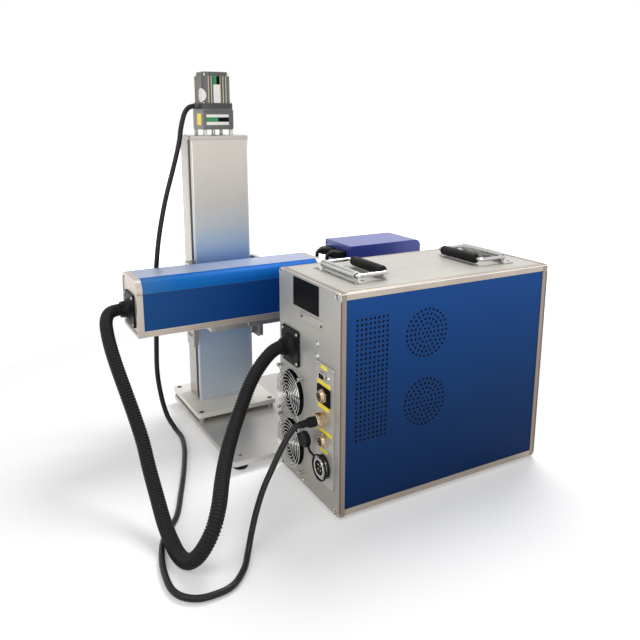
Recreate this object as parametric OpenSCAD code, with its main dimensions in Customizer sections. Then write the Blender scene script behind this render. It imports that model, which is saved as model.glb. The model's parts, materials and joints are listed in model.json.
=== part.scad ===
// Split laser marking machine: a cabinet with the laser source, and beside it a stand
// whose motor-driven column lifts an arm with a scan head. A ribbed hose carries the
// fibre from the cabinet to the arm, and a cable feeds the lift motor.
// X runs from the rear of the machine to its front, Y from the cabinet to the column,
// and Z up. The origin is on the bench, below the middle of everything but the cords.

/* [Cabinet] */
// Length of the cabinet, rear to front
cab_l = 446; // [420:1:480]
// Width of the cabinet
cab_w = 216; // [210:1:222]
// Height of the cabinet's top above the bench
cab_h = 390; // [380:1:420]
// Height of the rubber feet under the cabinet
cab_foot_h = 6; // [4:0.5:12]
// Width of the bars of the cabinet's frame
bar = 12; // [10:0.5:14]
// Radius of the bars' outer edges
bar_r = 3; // [1:0.5:5]
// Thickness of the rear and front panels
end_t = 3; // [2:0.5:4]
// Width of the frame's upright posts
post_w = 4; // [3:0.25:4.5]
// Corner radius of the rear and front panels
end_r = 6; // [3:0.5:9]
// Thickness of the side panels
side_t = 2.5; // [1.5:0.5:4]
// Depth of the side panels below the bars' faces
side_inset = 1.5; // [0.5:0.25:3]
// Thickness of the top cover and the bottom plate
plate_t = 3; // [2:0.5:5]

/* [Perforations] */
// Diameter of one hole in a side panel
perf_d = 5; // [3:0.25:6]
// Distance between the holes
perf_pitch = 8.25; // [7.5:0.05:8.5]
// Columns of holes in the long field
perf_cols = 8; // [4:1:9]
// Rows of holes in the long field
perf_rows = 26; // [12:1:26]
// Distance of the field's first column from the rear face
perf_x = 33; // [24:0.5:40]
// Height of the field's lowest row
perf_z = 136; // [90:1:140]
// Rings of holes in each round field
perf_rings = 5; // [3:1:5]
// Distance of the round fields' centre from the rear face
round_x = 171; // [155:1:200]
// Height of the lower round field
round_low_z = 177; // [120:1:190]
// Height of the upper round field
round_high_z = 301; // [290:1:320]

/* [Fans] */
// Side of a fan's square frame
fan_w = 92; // [90:0.5:94]
// Thickness of a fan
fan_t = 25; // [20:0.5:32]
// Distance between a fan's screw holes
fan_pitch = 82.5; // [80:0.5:83.5]
// Diameter of a fan's screw holes
fan_hole_d = 4.3; // [3.5:0.1:5]
// Diameter of a fan's air duct
fan_bore_d = 86; // [80:0.5:88]
// Diameter of a rotor's hub
fan_hub_d = 36; // [28:0.5:44]
// Diameter of a rotor's shaft pin
fan_pin_d = 4; // [3:0.25:6]
// Number of blades on a rotor
fan_blades = 7; // [5:1:9]
// Pitch angle of the blades
fan_blade_angle = 38; // [30:1:45]
// Distance of the fans' centres from the cabinet's near side
fan_y = 165; // [163:0.5:165]
// Height of the lower fan's centre
fan_low_z = 71; // [68:0.5:71]
// Height of the upper fan's centre
fan_high_z = 167; // [166:0.5:170]
// Height that a finger guard stands off the panel
guard_h = 12; // [6:0.5:14]
// Width and depth of a guard's wires
guard_wire = 1.8; // [1.2:0.1:2.4]
// Rings in a guard
guard_rings = 6; // [3:1:7]
// Diameter of a guard's outer ring
guard_d = 90; // [84:0.5:92]

/* [Rear panel] */
// Side of the cabinet's square hose flange
cab_flange_w = 66; // [60:0.5:68]
// Distance of the hose flange's centre from the cabinet's near side
cab_flange_y = 169; // [165:0.5:173]
// Height of the hose flange's centre
cab_flange_z = 256; // [250:0.5:262]
// Width of the raised connector plate
conn_plate_w = 58; // [54:0.5:62]
// Height of the raised connector plate
conn_plate_h = 214; // [206:0.5:220]
// Thickness of the raised connector plate
conn_plate_t = 3; // [2:0.25:4]
// Distance of the connector plate's middle from the cabinet's near side
conn_plate_y = 44; // [42:0.5:48]
// Height of the connector plate's lower edge
conn_plate_z = 47; // [43:0.5:51]
// Outer diameter of a round socket's barrel
socket_d = 19; // [16:0.25:20]
// Length of a round socket's barrel
socket_l = 6; // [4:0.25:9]
// Distance across the flats of a round socket's nut
socket_nut = 22; // [21:0.25:27]
// Thickness of a round socket's nut
socket_nut_t = 3; // [2:0.25:5]
// Diameter of the power inlet
inlet_d = 41; // [36:0.25:43]
// Length that the power inlet stands out
inlet_l = 11; // [8:0.25:14]

/* [Hose fittings] */
// Thickness of a square hose flange
flange_t = 4; // [3:0.25:6]
// Corner radius of a square hose flange
flange_r = 6; // [3:0.25:9]
// Diameter of the screw holes in a square hose flange
flange_hole_d = 4.5; // [3:0.1:5.5]
// Length of a flange's flared neck
neck_l = 16; // [14:0.5:20]
// Diameter of a neck at the hose
neck_d = 31; // [29:0.5:36]
// Diameter of a neck where it spreads into the flange
neck_flare_d = 54; // [48:0.5:58]
// Side of the arm's square hose flange
arm_flange_w = 64; // [58:0.5:68]
// Height of the arm's hose flange above the arm's underside
arm_flange_up = 45; // [40:0.5:50]

/* [Hose and cable] */
// Outer diameter of the ribbed hose
hose_d = 24; // [22:0.25:26]
// Depth of the hose's grooves
hose_groove = 2; // [1.2:0.1:2.5]
// Bore of the hose
hose_bore_d = 16; // [14:0.25:17]
// Ribs along the hose
hose_ribs = 196; // [120:1:200]
// Diameter of the motor cable
cable_d = 10; // [8:0.25:11]

/* [Handles] */
// Length of a handle's base along the cabinet's width
handle_l = 142; // [134:0.5:150]
// Width of a handle's base
handle_base_w = 24; // [23:0.5:30]
// Thickness of a handle's base
handle_base_t = 2; // [1.5:0.25:3]
// Distance of the hinge lines from the cabinet's ends
handle_inset = 62; // [56:0.5:66]
// Height of the hinge line above the cabinet's top
handle_up = 11; // [10.5:0.25:12]
// Distance from the hinge line to the grip's middle
handle_reach = 58; // [54:0.5:64]
// Diameter of the bail's rod
bail_d = 7; // [6:0.25:8]
// Outer diameter of the hinge barrel
barrel_d = 14; // [13:0.25:15]
// Length of the hinge barrel
barrel_l = 110; // [104:0.5:112]
// Diameter of the rubber grip
grip_d = 18; // [16:0.25:19]
// Length of the rubber grip
grip_l = 96; // [90:0.5:104]

/* [Front controls] */
// Diameter of the holes for the front controls
control_d = 22; // [20:0.25:24]
// Diameter of the control collars
collar_d = 30; // [27:0.25:32]
// Thickness of the control collars
collar_t = 6; // [4:0.25:8]
// Diameter of the stop button's head
stop_d = 40; // [36:0.25:44]
// Thickness of the stop button's head
stop_t = 12; // [9:0.25:15]
// Diameter of the stop button's stem
stop_stem_d = 15; // [12:0.25:16]
// Diameter of the push buttons
push_d = 16; // [13:0.25:18]
// Height that the push buttons stand out of their collars
push_out = 4; // [3.5:0.25:6]
// Diameter of the key switch's turning plug
plug_core_d = 12; // [10:0.25:14]

/* [Base] */
// Length of the base plate
base_l = 540; // [520:1:560]
// Width of the base plate
base_w = 368; // [360:1:390]
// Thickness of the base plate
base_t = 10; // [8:0.5:11]
// Corner radius of the base plate
base_r = 10; // [5:0.5:16]
// Height of the rubber feet under the base plate
base_foot_h = 14; // [12:0.5:20]
// Diameter of the rubber feet under the base plate
base_foot_d = 32; // [30:0.5:38]
// Distance of the corner bolts from the base plate's edges
base_bolt_inset = 24; // [19:0.5:26]
// Diameter of the corner bolt holes
base_bolt_d = 6.6; // [5.5:0.1:7]
// Distance between the work-holding holes
work_pitch = 50; // [40:1:55]
// Tapping diameter of the work-holding holes
work_hole_d = 5; // [4:0.25:6]
// Distance of the base plate's rear edge behind the cabinet's rear face
base_back = 97; // [92:1:102]
// Gap between the cabinet and the base plate
base_gap = 6; // [3:0.5:10]

/* [Column] */
// Width of the column
col_w = 124; // [120:1:128]
// Depth of the column, cover to back
col_d = 70; // [69:0.5:75]
// Height of the column's top plate above the bench
col_top = 616; // [600:1:640]
// Thickness of the column's top plate
col_top_t = 8; // [6:0.25:10]
// Wall of the column's profile
col_wall = 6; // [5:0.25:7]
// Thickness of the column's near cover
cover_t = 3; // [2:0.25:3.5]
// Height of the cover's side returns
cover_return = 6; // [5:0.25:7]
// Width of the slots between the cover and the profile
slot_w = 14; // [12:0.25:15]
// Length of the column's foot plate
foot_l = 180; // [176:1:186]
// Width of the column's foot plate
foot_w = 176; // [170:1:180]
// Thickness of the column's foot plate
foot_t = 10; // [8:0.5:12]
// Height of the spacers under the foot plate
spacer_h = 8; // [6:0.5:10]
// Width of a guide rail
rail_w = 15; // [13:0.25:17]
// Height of a guide rail
rail_h = 14; // [12:0.25:15]
// Distance between the guide rails
rail_pitch = 76; // [74:0.5:78]
// Diameter of the lead screw
screw_d = 16; // [12:0.25:18]
// Side of the gearbox and the motor
motor_w = 66; // [58:0.5:68]
// Height of the gearbox
gearbox_h = 41; // [34:0.5:44]
// Height of the motor's dark flange
motor_flange_h = 12; // [9:0.5:15]
// Height of the motor's body
motor_h = 62; // [54:0.5:76]
// Height of the motor's standoffs
standoff_h = 12; // [9:0.5:16]

/* [Carriage] */
// Height of the carriage
car_h = 180; // [170:1:190]
// Width of the carriage over its cheeks
car_w = 160; // [156:0.5:166]
// Thickness of the carriage's plates
car_t = 10; // [8:0.25:10.5]
// Thickness of the shelf below the arm
shelf_t = 10; // [8:0.25:12]
// Distance that the carriage hangs below the arm
car_drop = 76; // [70:1:84]

/* [Arm] */
// Height of the arm's underside above the bench
arm_z = 252; // [245:1:260]
// Width of the arm
arm_w = 110; // [106:0.5:112]
// Height of the arm
arm_h = 110; // [106:0.5:116]
// Length of the arm between its end caps
arm_l = 370; // [356:1:376]
// Distance of the arm's rear cap behind the cabinet's rear face
arm_back = 228; // [222:1:234]
// Gap between the arm and the carriage's inner plate
arm_gap = 34; // [32:0.5:37]
// Radius of the arm's upper edges
arm_r = 22; // [16:0.5:26]
// Wall of the arm's covers
arm_wall = 3; // [2:0.25:4]
// Height of the arm's silver base, with its lips
arm_base_h = 12; // [9:0.5:16]
// Thickness of the arm's end caps
cap_t = 12; // [10:0.5:15]
// Depth of the recess in an end cap
cap_recess = 2; // [1:0.25:3]
// Width of an end cap's rim
cap_rim = 6; // [5:0.25:8]

/* [Scan head] */
// Length of the scan head
head_l = 186; // [178:1:192]
// Height of the scan head
head_h = 110; // [104:0.5:116]
// Height of the scan head's top above the arm's top
head_up = 22; // [18:0.5:26]
// Wall of the scan head's housing
head_wall = 4; // [3:0.25:6]
// Radius of the scan head's front edge
head_r = 14; // [10:0.5:18]
// Gap between the arm's front cap and the scan head
head_gap = 64; // [60:0.5:70]
// Distance of the lens's middle from the scan head's front
lens_back = 60; // [56:0.5:66]
// Diameter of the lens barrel
lens_d = 90; // [80:0.5:94]
// Length of the lens barrel below the scan head
lens_h = 46; // [40:0.5:50]
// Diameter of the lens's clear opening
lens_clear_d = 66; // [56:0.5:70]
// Diameter of the beam tube between the arm and the head
beam_tube_d = 38; // [32:0.5:42]
// Diameter of a scan motor
scan_motor_d = 24; // [20:0.25:26]
// Diameter of a mirror's shaft
mirror_shaft_d = 3; // [2.5:0.25:4]
// Width of a mirror
mirror_w = 16; // [12:0.25:18]
// Length of a mirror
mirror_l = 22; // [18:0.25:24]

/* [Hidden] */
$fn = 48;

// Overrun of every cut, clearance of sliding fits and of shafts in bores
over = 1;
slip = 0.2;
run = 0.05;
rest_gap = 0.3;

// Cabinet places
cab_z0 = cab_foot_h;
cab_foot_d = 26;
cab_foot_inset = 30;
floor_z = cab_z0 + plate_t;
perf_fn = 16;

// Fan places
fan_wall = 2;
fan_arm_w = 5;
fan_arm_t = 3;
fan_rotor_l = fan_t - 2 * fan_arm_t;
fan_blade_t = 1.6;
fan_blade_w = 14;
fan_tip_gap = 1.5;
guard_hub_d = 14;
guard_leg_d = 8;
guard_spokes = 4;
guard_spoke_w = 2.4;

// Rear panel places, heights above the bench
port_z = 242;
port_w = 19;
port_h = 11;
port_l = 6;
port_wall = 1.5;
socket_plate_z = 207.5;
socket_plate_w = 42;
socket_plate_h = 30;
socket_plate_t = 2;
motor_socket_z = 166;
spare_socket_z = 127;
socket_y = 44;
socket_wall = 2.2;
inlet_z = 80;
inlet_wall = 4;
conn_edge = 6;
conn_r = 2;
cap_d = 28;
cap_l = 9;
cap_y = 85;
cap_z = 115;
cap_out = 13;
strap_w = 5;
strap_t = 2.4;

// Motor plug on the cable, pushed over the motor socket
plug_ring_d = 26;
plug_ring_l = 15;
plug_body_d = 18;
plug_body_l = 12;
plug_boot_d = 13;
plug_boot_l = 16;

// Inside the cabinet
source_l = 260;
source_w = 160;
source_h = 84;
source_x = 95;
fin_h = 10;
fin_t = 3;
fin_count = 14;
supply_l = 60;
supply_w = 150;
supply_h = 180;
supply_front_gap = 8;
supply_x = cab_l - bar - supply_l - supply_front_gap;
board_l = 150;
board_w = 100;
board_t = 1.6;
board_post_h = 8;
board_post_d = 6;
board_post_inset = 6;
chip_s = 18;
chip_h = 3;
chip_count = 4;

// Handles
handle_z = cab_h + handle_up;
handle_y = cab_w / 2;
knuckle_gap = 0.4;
knuckles = 3;
knuckle_web = 6;
spring_wall = 0.6;
bail_side_gap = 1;
bail_bend_r = bail_d / 2 + bail_side_gap;
slot_d = 3.5;

// Front controls, heights above the bench and distances from the near side
control_y = 46;
control_pitch_z = 52;
stop_z = 330;
stop_gap = 6;
push_back = 14;
key_bow_l = 16;
key_bow_w = 20;
key_bow_t = 2.4;
key_shank_l = 5;
control_neck_l = 10;
plug_core_out = 1.5;

// Stand places
base_x0 = -base_back;
base_y0 = cab_w + base_gap;
base_z0 = base_foot_h;
base_z1 = base_z0 + base_t;
base_y1 = base_y0 + base_w;
work_cols = 4;
work_rows = 3;
spacer_d = 16;
foot_hole_inset = 11;
foot_hole_d = 5.5;
foot_x0 = base_x0;
foot_y0 = base_y1 - foot_w;
foot_z0 = base_z1 + spacer_h;
foot_z1 = foot_z0 + foot_t;
foot_r = 6;
col_x = base_x0 + foot_l / 2;
col_shift = 24;
col_y0 = foot_y0 + foot_w / 2 - col_shift;
col_y1 = col_y0 + col_d;
col_side_y = col_y0 + cover_t + cover_return + slot_w;
col_prof_z1 = col_top - col_top_t;
screw_off = 13;
screw_y = col_y1 - col_wall - rail_h - screw_off;
screw_bearing_h = 6;
screw_z0 = foot_z1 + screw_bearing_h;
screw_bearing_d = 40;
slide_block_w = 32;
slide_block_h = 56;
slide_block_inset = 6;
block_clear = rest_gap;
nut_w = 36;
nut_h = 44;
coupling_d = 22;
shaft_d = 8;
gear_z0 = col_top + standoff_h;
motor_z0 = gear_z0 + gearbox_h;
motor_body_z0 = motor_z0 + motor_flange_h;
motor_step = 4;
motor_body_w = motor_w - motor_step;
motor_edge = 1;
motor_round = 11;
motor_fin = 1.5;
motor_ribs = 7;
motor_rib_w = 2.6;
motor_cap_h = 8;
motor_cap_step = 2.5;
motor_corner = 5;
standoff_d = 8;
standoff_inset = 5;
gland_d = 11.5;
gland_l = 9;
rotor_d = 26;
rotor_l = 36;
rotor_gap = 0.6;

// Arm places
arm_x0 = -arm_back;
arm_x1 = arm_x0 + 2 * cap_t + arm_l;
car_y1 = col_y0 + cover_t + cover_return + (slot_w + car_t) / 2;
car_y0 = car_y1 - car_t;
arm_y1 = car_y0 - arm_gap;
arm_y0 = arm_y1 - arm_w;
arm_y = (arm_y0 + arm_y1) / 2;
arm_top_w = arm_w - 2 * arm_r;
strip_t = 3;
strip_groove = 1;
strip_groove_w = 2;
strip_grooves = 5;
seam = 0.6;
seam_drop = 6;
cap_seam_deep = 1;
panel_top = arm_h - arm_r - seam_drop;
car_z0 = arm_z - car_drop;
car_z1 = car_z0 + car_h;
cheek_x0 = col_x - car_w / 2;
cheek_x1 = col_x + car_w / 2;
cheek_r = 8;
shelf_lap = 10;

// Scan head places
head_x0 = arm_x1 + head_gap;
head_x1 = head_x0 + head_l;
head_z1 = arm_z + arm_h + head_up;
head_z0 = head_z1 - head_h;
head_w = arm_w;
head_y0 = arm_y0;
lens_x = head_x1 - lens_back;
lens_y = arm_y;
lens_z0 = head_z0 - lens_h;
lens_step_share = 0.45;
lens_step = 8;
lens_flange_t = 5;
lens_cell_t = 4;
mirror_height_share = 0.42;
mirror_z = head_z0 + head_h * mirror_height_share;
mirror_off = 24;
mirror_t = 2;
scan_motor_l = 40;
scan_clamp_l = 12;
mirror_gap = 4;
mirror_foot = [10, 5, 2];
beam_y = lens_y - mirror_off;
plug_shell_w = 34;
plug_shell_h = 14;
plug_shell_l = 30;
plug_shell_pitch = 44;
plug_shell_up = 20;
plug_cable_d = 8;
plug_cable_out = 9;
plug_cable_fall = 16;
isolator_d = 44;
isolator_l = 120;
isolator_foot = 12;

// Middle of the whole, without the cords, moved over the origin
stop_front = cab_l + collar_t + stop_gap + stop_t;
neck_end = arm_x0 + cap_recess - flange_t - neck_l;
mid_x = (neck_end + stop_front) / 2;
mid_y = base_y1 / 2;

// The hose starts in the neck at the arm, hangs to the bench and climbs to the cabinet's neck
hose_arm_end = [arm_x0 + cap_recess, arm_y, arm_z + arm_flange_up];
hose_cab_end = [0, cab_flange_y, cab_flange_z];
hose_lead = [-hose_d, 0, 0];
hose_points = [
  [-263, 397, 296], [-273, 387, 292], [-280, 369, 283], [-283, 345, 267], [-283, 318, 245],
  [-280, 292, 219], [-275, 264, 188], [-269, 234, 152], [-265, 203, 118], [-265, 170, 86],
  [-265, 130, 56], [-266, 90, 33], [-265, 54, 18.5], [-263, 26, 12.5], [-258, 2, 15.5],
  [-249, -15, 29], [-237, -23, 50], [-222, -19, 73], [-206, 0, 94], [-188, 34, 110],
  [-167, 70, 126], [-143, 103, 146], [-117, 130, 172], [-91, 149, 205], [-67, 160, 230],
  [-42, 167, 249]
];
hose_route = concat([hose_arm_end, hose_arm_end + hose_lead / 2, hose_arm_end + hose_lead],
  hose_points, [hose_cab_end + hose_lead, hose_cab_end + hose_lead / 2, hose_cab_end]);

// The cable leaves the motor, hangs behind the arm, lies in a loop and climbs to its plug
cable_motor_end = [col_x - motor_body_w / 2 - gland_l, screw_y, motor_z0 + motor_flange_h / 2];
cable_plug_end = [-conn_plate_t - socket_nut_t - rest_gap - plug_ring_l - plug_body_l - plug_boot_l,
  socket_y, motor_socket_z];
cable_points = [
  [-54, 515, 674], [-61, 515, 670], [-68, 514, 661], [-73, 513, 648], [-78, 512, 630],
  [-84, 510, 600], [-99, 506, 552], [-121, 498, 488], [-138, 491, 425], [-149, 485, 367],
  [-156, 481, 300], [-160, 478, 208], [-163, 475, 134], [-158, 472, 76], [-150, 462, 34],
  [-141, 440, 12], [-138, 404, 6], [-149, 352, 6], [-166, 300, 6], [-182, 256, 6],
  [-202, 206, 6], [-232, 136, 6], [-266, 90, 6], [-286, 36, 6], [-293, -18, 6], [-288, -48, 6],
  [-270, -67, 6], [-245, -73, 6], [-214, -68, 6], [-186, -42, 6], [-167, -12, 8], [-151, 11, 22],
  [-137, 23, 48], [-121, 31, 78], [-101, 37, 108], [-81, 42, 137], [-67, 43.5, 155],
  [-57, 44, 164]
];
cable_route = concat([cable_motor_end], cable_points, [cable_plug_end]);
hose_sides = 8;
cable_sides = 8;
cable_rings = 78;
steps_per_point = 8;

// Curve through a route's points, and points at even distances along it

function unit(v) = v / norm(v);
function between(a, b, c, d, t) =
  (2 * b + (c - a) * t + (2 * a - 5 * b + 4 * c - d) * t * t
  + (3 * b - a - 3 * c + d) * t * t * t) / 2;
function curve(points) = concat(
  [for (i = [0 : len(points) - 2], k = [0 : steps_per_point - 1])
    between(points[max(i - 1, 0)], points[i], points[i + 1],
      points[min(i + 2, len(points) - 1)], k / steps_per_point)],
  [points[len(points) - 1]]);
function distances(line) =
  [for (i = 0, s = 0; i < len(line); i = i + 1,
    s = i < len(line) ? s + norm(line[i] - line[i - 1]) : s) s];
function even(line, count) =
  let (s = distances(line), total = s[len(s) - 1])
  [for (k = [0 : count - 1])
    let (at = total * k / (count - 1))
    [for (axis = [0 : 2]) lookup(at, [for (i = [0 : len(line) - 1]) [s[i], line[i][axis]]])]];
function directions(line) =
  [for (i = [0 : len(line) - 1])
    unit(line[min(i + 1, len(line) - 1)] - line[max(i - 1, 0)])];
function across(u, t) = unit(u - t * (u * t));
function sides_of(dirs) =
  [for (i = 0, u = across([0, 0, 1], dirs[0]); i < len(dirs); i = i + 1,
    u = i < len(dirs) ? across(u, dirs[i]) : u) u];
function ring(c, t, u, r, sides) =
  let (v = cross(t, u))
  [for (k = [0 : sides - 1]) c + r * (cos(360 * k / sides) * u + sin(360 * k / sides) * v)];
function squared(dirs, first, last) =
  concat([first], [for (i = [1 : len(dirs) - 2]) dirs[i]], [last]);
function rings(line, radii, sides) =
  let (t = squared(directions(line), [-1, 0, 0], [1, 0, 0]), u = sides_of(t))
  [for (i = [0 : len(line) - 1], p = ring(line[i], t[i], u[i], radii[i], sides)) p];
function wall(first, count, sides, inside) =
  [for (i = [0 : count - 2], k = [0 : sides - 1])
    let (a = first + i * sides + k, b = first + i * sides + (k + 1) % sides,
      c = b + sides, d = a + sides)
    each inside ? [[a, b, c], [a, c, d]] : [[a, c, b], [a, d, c]]];
function mouth(outer, inner, sides, flip) =
  [for (k = [0 : sides - 1])
    let (a = outer + k, b = outer + (k + 1) % sides, c = inner + (k + 1) % sides, d = inner + k)
    each flip ? [[a, c, b], [a, d, c]] : [[a, b, c], [a, c, d]]];
function lid(first, sides, flip) =
  [for (k = [1 : sides - 2])
    flip ? [first, first + k + 1, first + k] : [first, first + k, first + k + 1]];
function self_gap(line, reach, width) =
  min([for (i = [0 : 4 : len(line) - 1], j = [0 : 4 : len(line) - 1])
    if (j > i + reach) norm(line[i] - line[j])]) - width;

hose_line = even(curve(hose_route), 2 * hose_ribs + 1);
hose_bore_line = even(curve(hose_route), hose_ribs / 2 + 1);
cable_line = even(curve(cable_route), cable_rings);
hose_length = distances(hose_line)[2 * hose_ribs];
cable_length = distances(cable_line)[cable_rings - 1];
echo(hose_length = hose_length, hose_gap = self_gap(hose_line, 60, hose_d));
echo(cable_length = cable_length, hose_low = min([for (p = hose_line) p.z]) - hose_d / 2,
  cable_low = min([for (p = cable_line) p.z]) - cable_d / 2);
echo(mid_x = mid_x, mid_y = mid_y);

// Shapes that several pieces share

module placed() {
  translate([-mid_x, -mid_y, 0]) children();
}

module block(at, size) {
  translate(at) cube(size);
}

module rod_x(at, d, l) {
  translate(at) rotate([0, 90, 0]) cylinder(d = d, h = l);
}

module rod_y(at, d, l) {
  translate(at) rotate([-90, 0, 0]) cylinder(d = d, h = l);
}

module rod_z(at, d, l) {
  translate(at) cylinder(d = d, h = l);
}

// A rectangle with four round corners, made of squares and circles
module round_rect(w, h, r) {
  translate([r, 0]) square([w - 2 * r, h]);
  translate([0, r]) square([w, h - 2 * r]);
  for (x = [r, w - r], y = [r, h - r]) translate([x, y]) circle(r = r);
}

// A flat plate that faces along X, with its low corner at the place given
module wall_plate(at, w, h, t, r) {
  translate(at) rotate([90, 0, 90]) linear_extrude(t) round_rect(w, h, r);
}

// A flat plate that lies, with its low corner at the place given
module lying_plate(at, w, h, t, r) {
  translate(at) linear_extrude(t) round_rect(w, h, r);
}

// One bar of the cabinet's frame along X, rounded on its outer edge
module frame_bar_x(at, l, turn) {
  translate(at) rotate([turn, 0, 0]) rotate([90, 0, 90]) linear_extrude(l) {
    translate([-bar / 2, -bar / 2 + bar_r]) square([bar, bar - bar_r]);
    translate([-bar / 2 + bar_r, -bar / 2]) square([bar - bar_r, bar]);
    translate([-bar / 2 + bar_r, -bar / 2 + bar_r]) circle(r = bar_r);
  }
}

module fan_centres() {
  for (z = [fan_low_z, fan_high_z]) translate([0, fan_y, z]) children();
}

module fan_corners() {
  for (y = [-fan_pitch / 2, fan_pitch / 2], z = [-fan_pitch / 2, fan_pitch / 2])
    translate([0, y, z]) children();
}

// Square hose flange with a flared neck that the hose runs into, pointing along -X
module hose_flange(w) {
  difference() {
    union() {
      wall_plate([-flange_t, -w / 2, -w / 2], w, w, flange_t, flange_r);
      rotate([0, -90, 0]) rotate_extrude() neck_outline();
    }
    rod_x([-flange_t - neck_l - over, 0, 0], hose_d + 2 * rest_gap, flange_t + neck_l + 2 * over);
    for (y = [-1, 1], z = [-1, 1])
      rod_x([-flange_t - over, y * (w / 2 - flange_r), z * (w / 2 - flange_r)],
        flange_hole_d, flange_t + 2 * over);
  }
}

// Half section of a neck: straight at the hose, then a hollow arc out to the flange
module neck_outline() {
  flare = (neck_flare_d - neck_d) / 2;
  translate([0, flange_t / 2]) square([neck_d / 2, neck_l + flange_t / 2]);
  difference() {
    translate([0, flange_t / 2]) square([neck_flare_d / 2, flange_t / 2 + flare]);
    translate([neck_flare_d / 2, flange_t + flare]) circle(r = flare);
  }
}

// Cabinet

module end_frames() {
  depth = bar - end_t;
  color("silver") for (x = [end_t, cab_l - bar]) {
    for (y = [0, cab_w - post_w]) block([x, y, cab_z0], [depth, post_w, cab_h - cab_z0]);
    for (z = [cab_z0, cab_h - bar]) block([x, post_w, z], [depth, cab_w - 2 * post_w, bar]);
  }
}

module corner_rails() {
  l = cab_l - 2 * bar;
  half = bar / 2;
  color("silver") {
    frame_bar_x([bar, half, cab_z0 + half], l, 0);
    frame_bar_x([bar, cab_w - half, cab_z0 + half], l, 90);
    frame_bar_x([bar, cab_w - half, cab_h - half], l, 180);
    frame_bar_x([bar, half, cab_h - half], l, 270);
  }
}

module top_cover() {
  color("gainsboro") block([bar, bar, cab_h - plate_t], [cab_l - 2 * bar, cab_w - 2 * bar, plate_t]);
}

module bottom_plate() {
  color("silver") block([bar, bar, cab_z0], [cab_l - 2 * bar, cab_w - 2 * bar, plate_t]);
}

module perforations() {
  for (i = [0 : perf_cols - 1], j = [0 : perf_rows - 1])
    translate([perf_x + i * perf_pitch, perf_z + j * perf_pitch]) circle(d = perf_d, $fn = perf_fn);
  for (z = [round_low_z, round_high_z]) translate([round_x, z]) {
    circle(d = perf_d, $fn = perf_fn);
    for (k = [1 : perf_rings], m = [0 : 6 * k - 1]) rotate(60 * m / k)
      translate([k * perf_pitch, 0]) circle(d = perf_d, $fn = perf_fn);
  }
}

module side_panel(y) {
  color("royalblue") translate([0, y + side_t, 0]) rotate([90, 0, 0]) linear_extrude(side_t)
    difference() {
      translate([bar, cab_z0 + bar]) square([cab_l - 2 * bar, cab_h - cab_z0 - 2 * bar]);
      perforations();
    }
}

module near_side_panel() {
  side_panel(side_inset);
}

module far_side_panel() {
  side_panel(cab_w - side_inset - side_t);
}

module rear_panel() {
  color("gainsboro") difference() {
    wall_plate([0, 0, cab_z0], cab_w, cab_h - cab_z0, end_t, end_r);
    fan_centres() {
      rod_x([-over, 0, 0], fan_bore_d, end_t + 2 * over);
      fan_corners() rod_x([-over, 0, 0], fan_hole_d, end_t + 2 * over);
    }
    rod_x([-over, cab_flange_y, cab_flange_z], hose_bore_d, end_t + 2 * over);
    block([-over, conn_plate_y - conn_plate_w / 2 + conn_edge, conn_plate_z + conn_edge],
      [end_t + 2 * over, conn_plate_w - 2 * conn_edge, conn_plate_h - 2 * conn_edge]);
  }
}

module front_panel() {
  color("gainsboro") difference() {
    wall_plate([cab_l - end_t, 0, cab_z0], cab_w, cab_h - cab_z0, end_t, end_r);
    for (k = [0 : 3])
      rod_x([cab_l - end_t - over, control_y, stop_z - k * control_pitch_z], control_d,
        end_t + 2 * over);
  }
}

module rubber_feet() {
  color("dimgray") {
    for (x = [cab_foot_inset, cab_l - cab_foot_inset], y = [cab_foot_inset, cab_w - cab_foot_inset])
      rod_z([x, y, 0], cab_foot_d, cab_foot_h);
    for (x = [base_x0 + base_bolt_inset, base_x0 + base_l - base_bolt_inset],
      y = [base_y0 + base_bolt_inset, base_y1 - base_bolt_inset])
      translate([x, y, 0]) difference() {
        cylinder(d = base_foot_d, h = base_foot_h);
        translate([0, 0, -over]) cylinder(d = base_bolt_d, h = base_foot_h + 2 * over);
      }
  }
}

module cabinet_hose_flange() {
  color("dimgray") translate([0, cab_flange_y, cab_flange_z]) hose_flange(cab_flange_w);
}

// Fans, behind the rear panel, with their guards in front of it

module fan_housings() {
  hub_x = end_t + fan_t - fan_arm_t;
  color("dimgray") fan_centres() {
    difference() {
      wall_plate([end_t, -fan_w / 2, -fan_w / 2], fan_w, fan_w, fan_t, fan_wall);
      rod_x([end_t - over, 0, 0], fan_bore_d, fan_t + 2 * over);
      fan_corners() rod_x([end_t - over, 0, 0], fan_hole_d, fan_t + 2 * over);
    }
    rod_x([hub_x, 0, 0], fan_hub_d, fan_arm_t);
    for (k = [0 : 2]) rotate([120 * k + 60, 0, 0])
      block([hub_x, fan_pin_d, -fan_arm_w / 2],
        [fan_arm_t, fan_bore_d / 2 + fan_wall / 2 - fan_pin_d, fan_arm_w]);
    rod_x([end_t + 2 * fan_arm_t + slip, 0, 0], fan_pin_d, fan_t - 3 * fan_arm_t - slip);
  }
}

module fan_rotor(z) {
  x0 = end_t + fan_arm_t;
  l = fan_rotor_l - slip;
  tip = fan_bore_d / 2 - fan_tip_gap;
  color("black") translate([x0, fan_y, z]) difference() {
    union() {
      rod_x([0, 0, 0], fan_hub_d, l);
      intersection() {
        rod_x([0, 0, 0], 2 * tip, l);
        for (k = [0 : fan_blades - 1]) rotate([360 * k / fan_blades, 0, 0])
          translate([l / 2, fan_hub_d / 2 - fan_blade_t, 0]) rotate([0, fan_blade_angle, 0])
            block([-fan_blade_w / 2, 0, -fan_blade_t / 2], [fan_blade_w, tip, fan_blade_t]);
      }
    }
    rod_x([fan_arm_t, 0, 0], fan_pin_d + 2 * run, l);
  }
}

module upper_fan_rotor() {
  fan_rotor(fan_high_z);
}

module lower_fan_rotor() {
  fan_rotor(fan_low_z);
}

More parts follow.
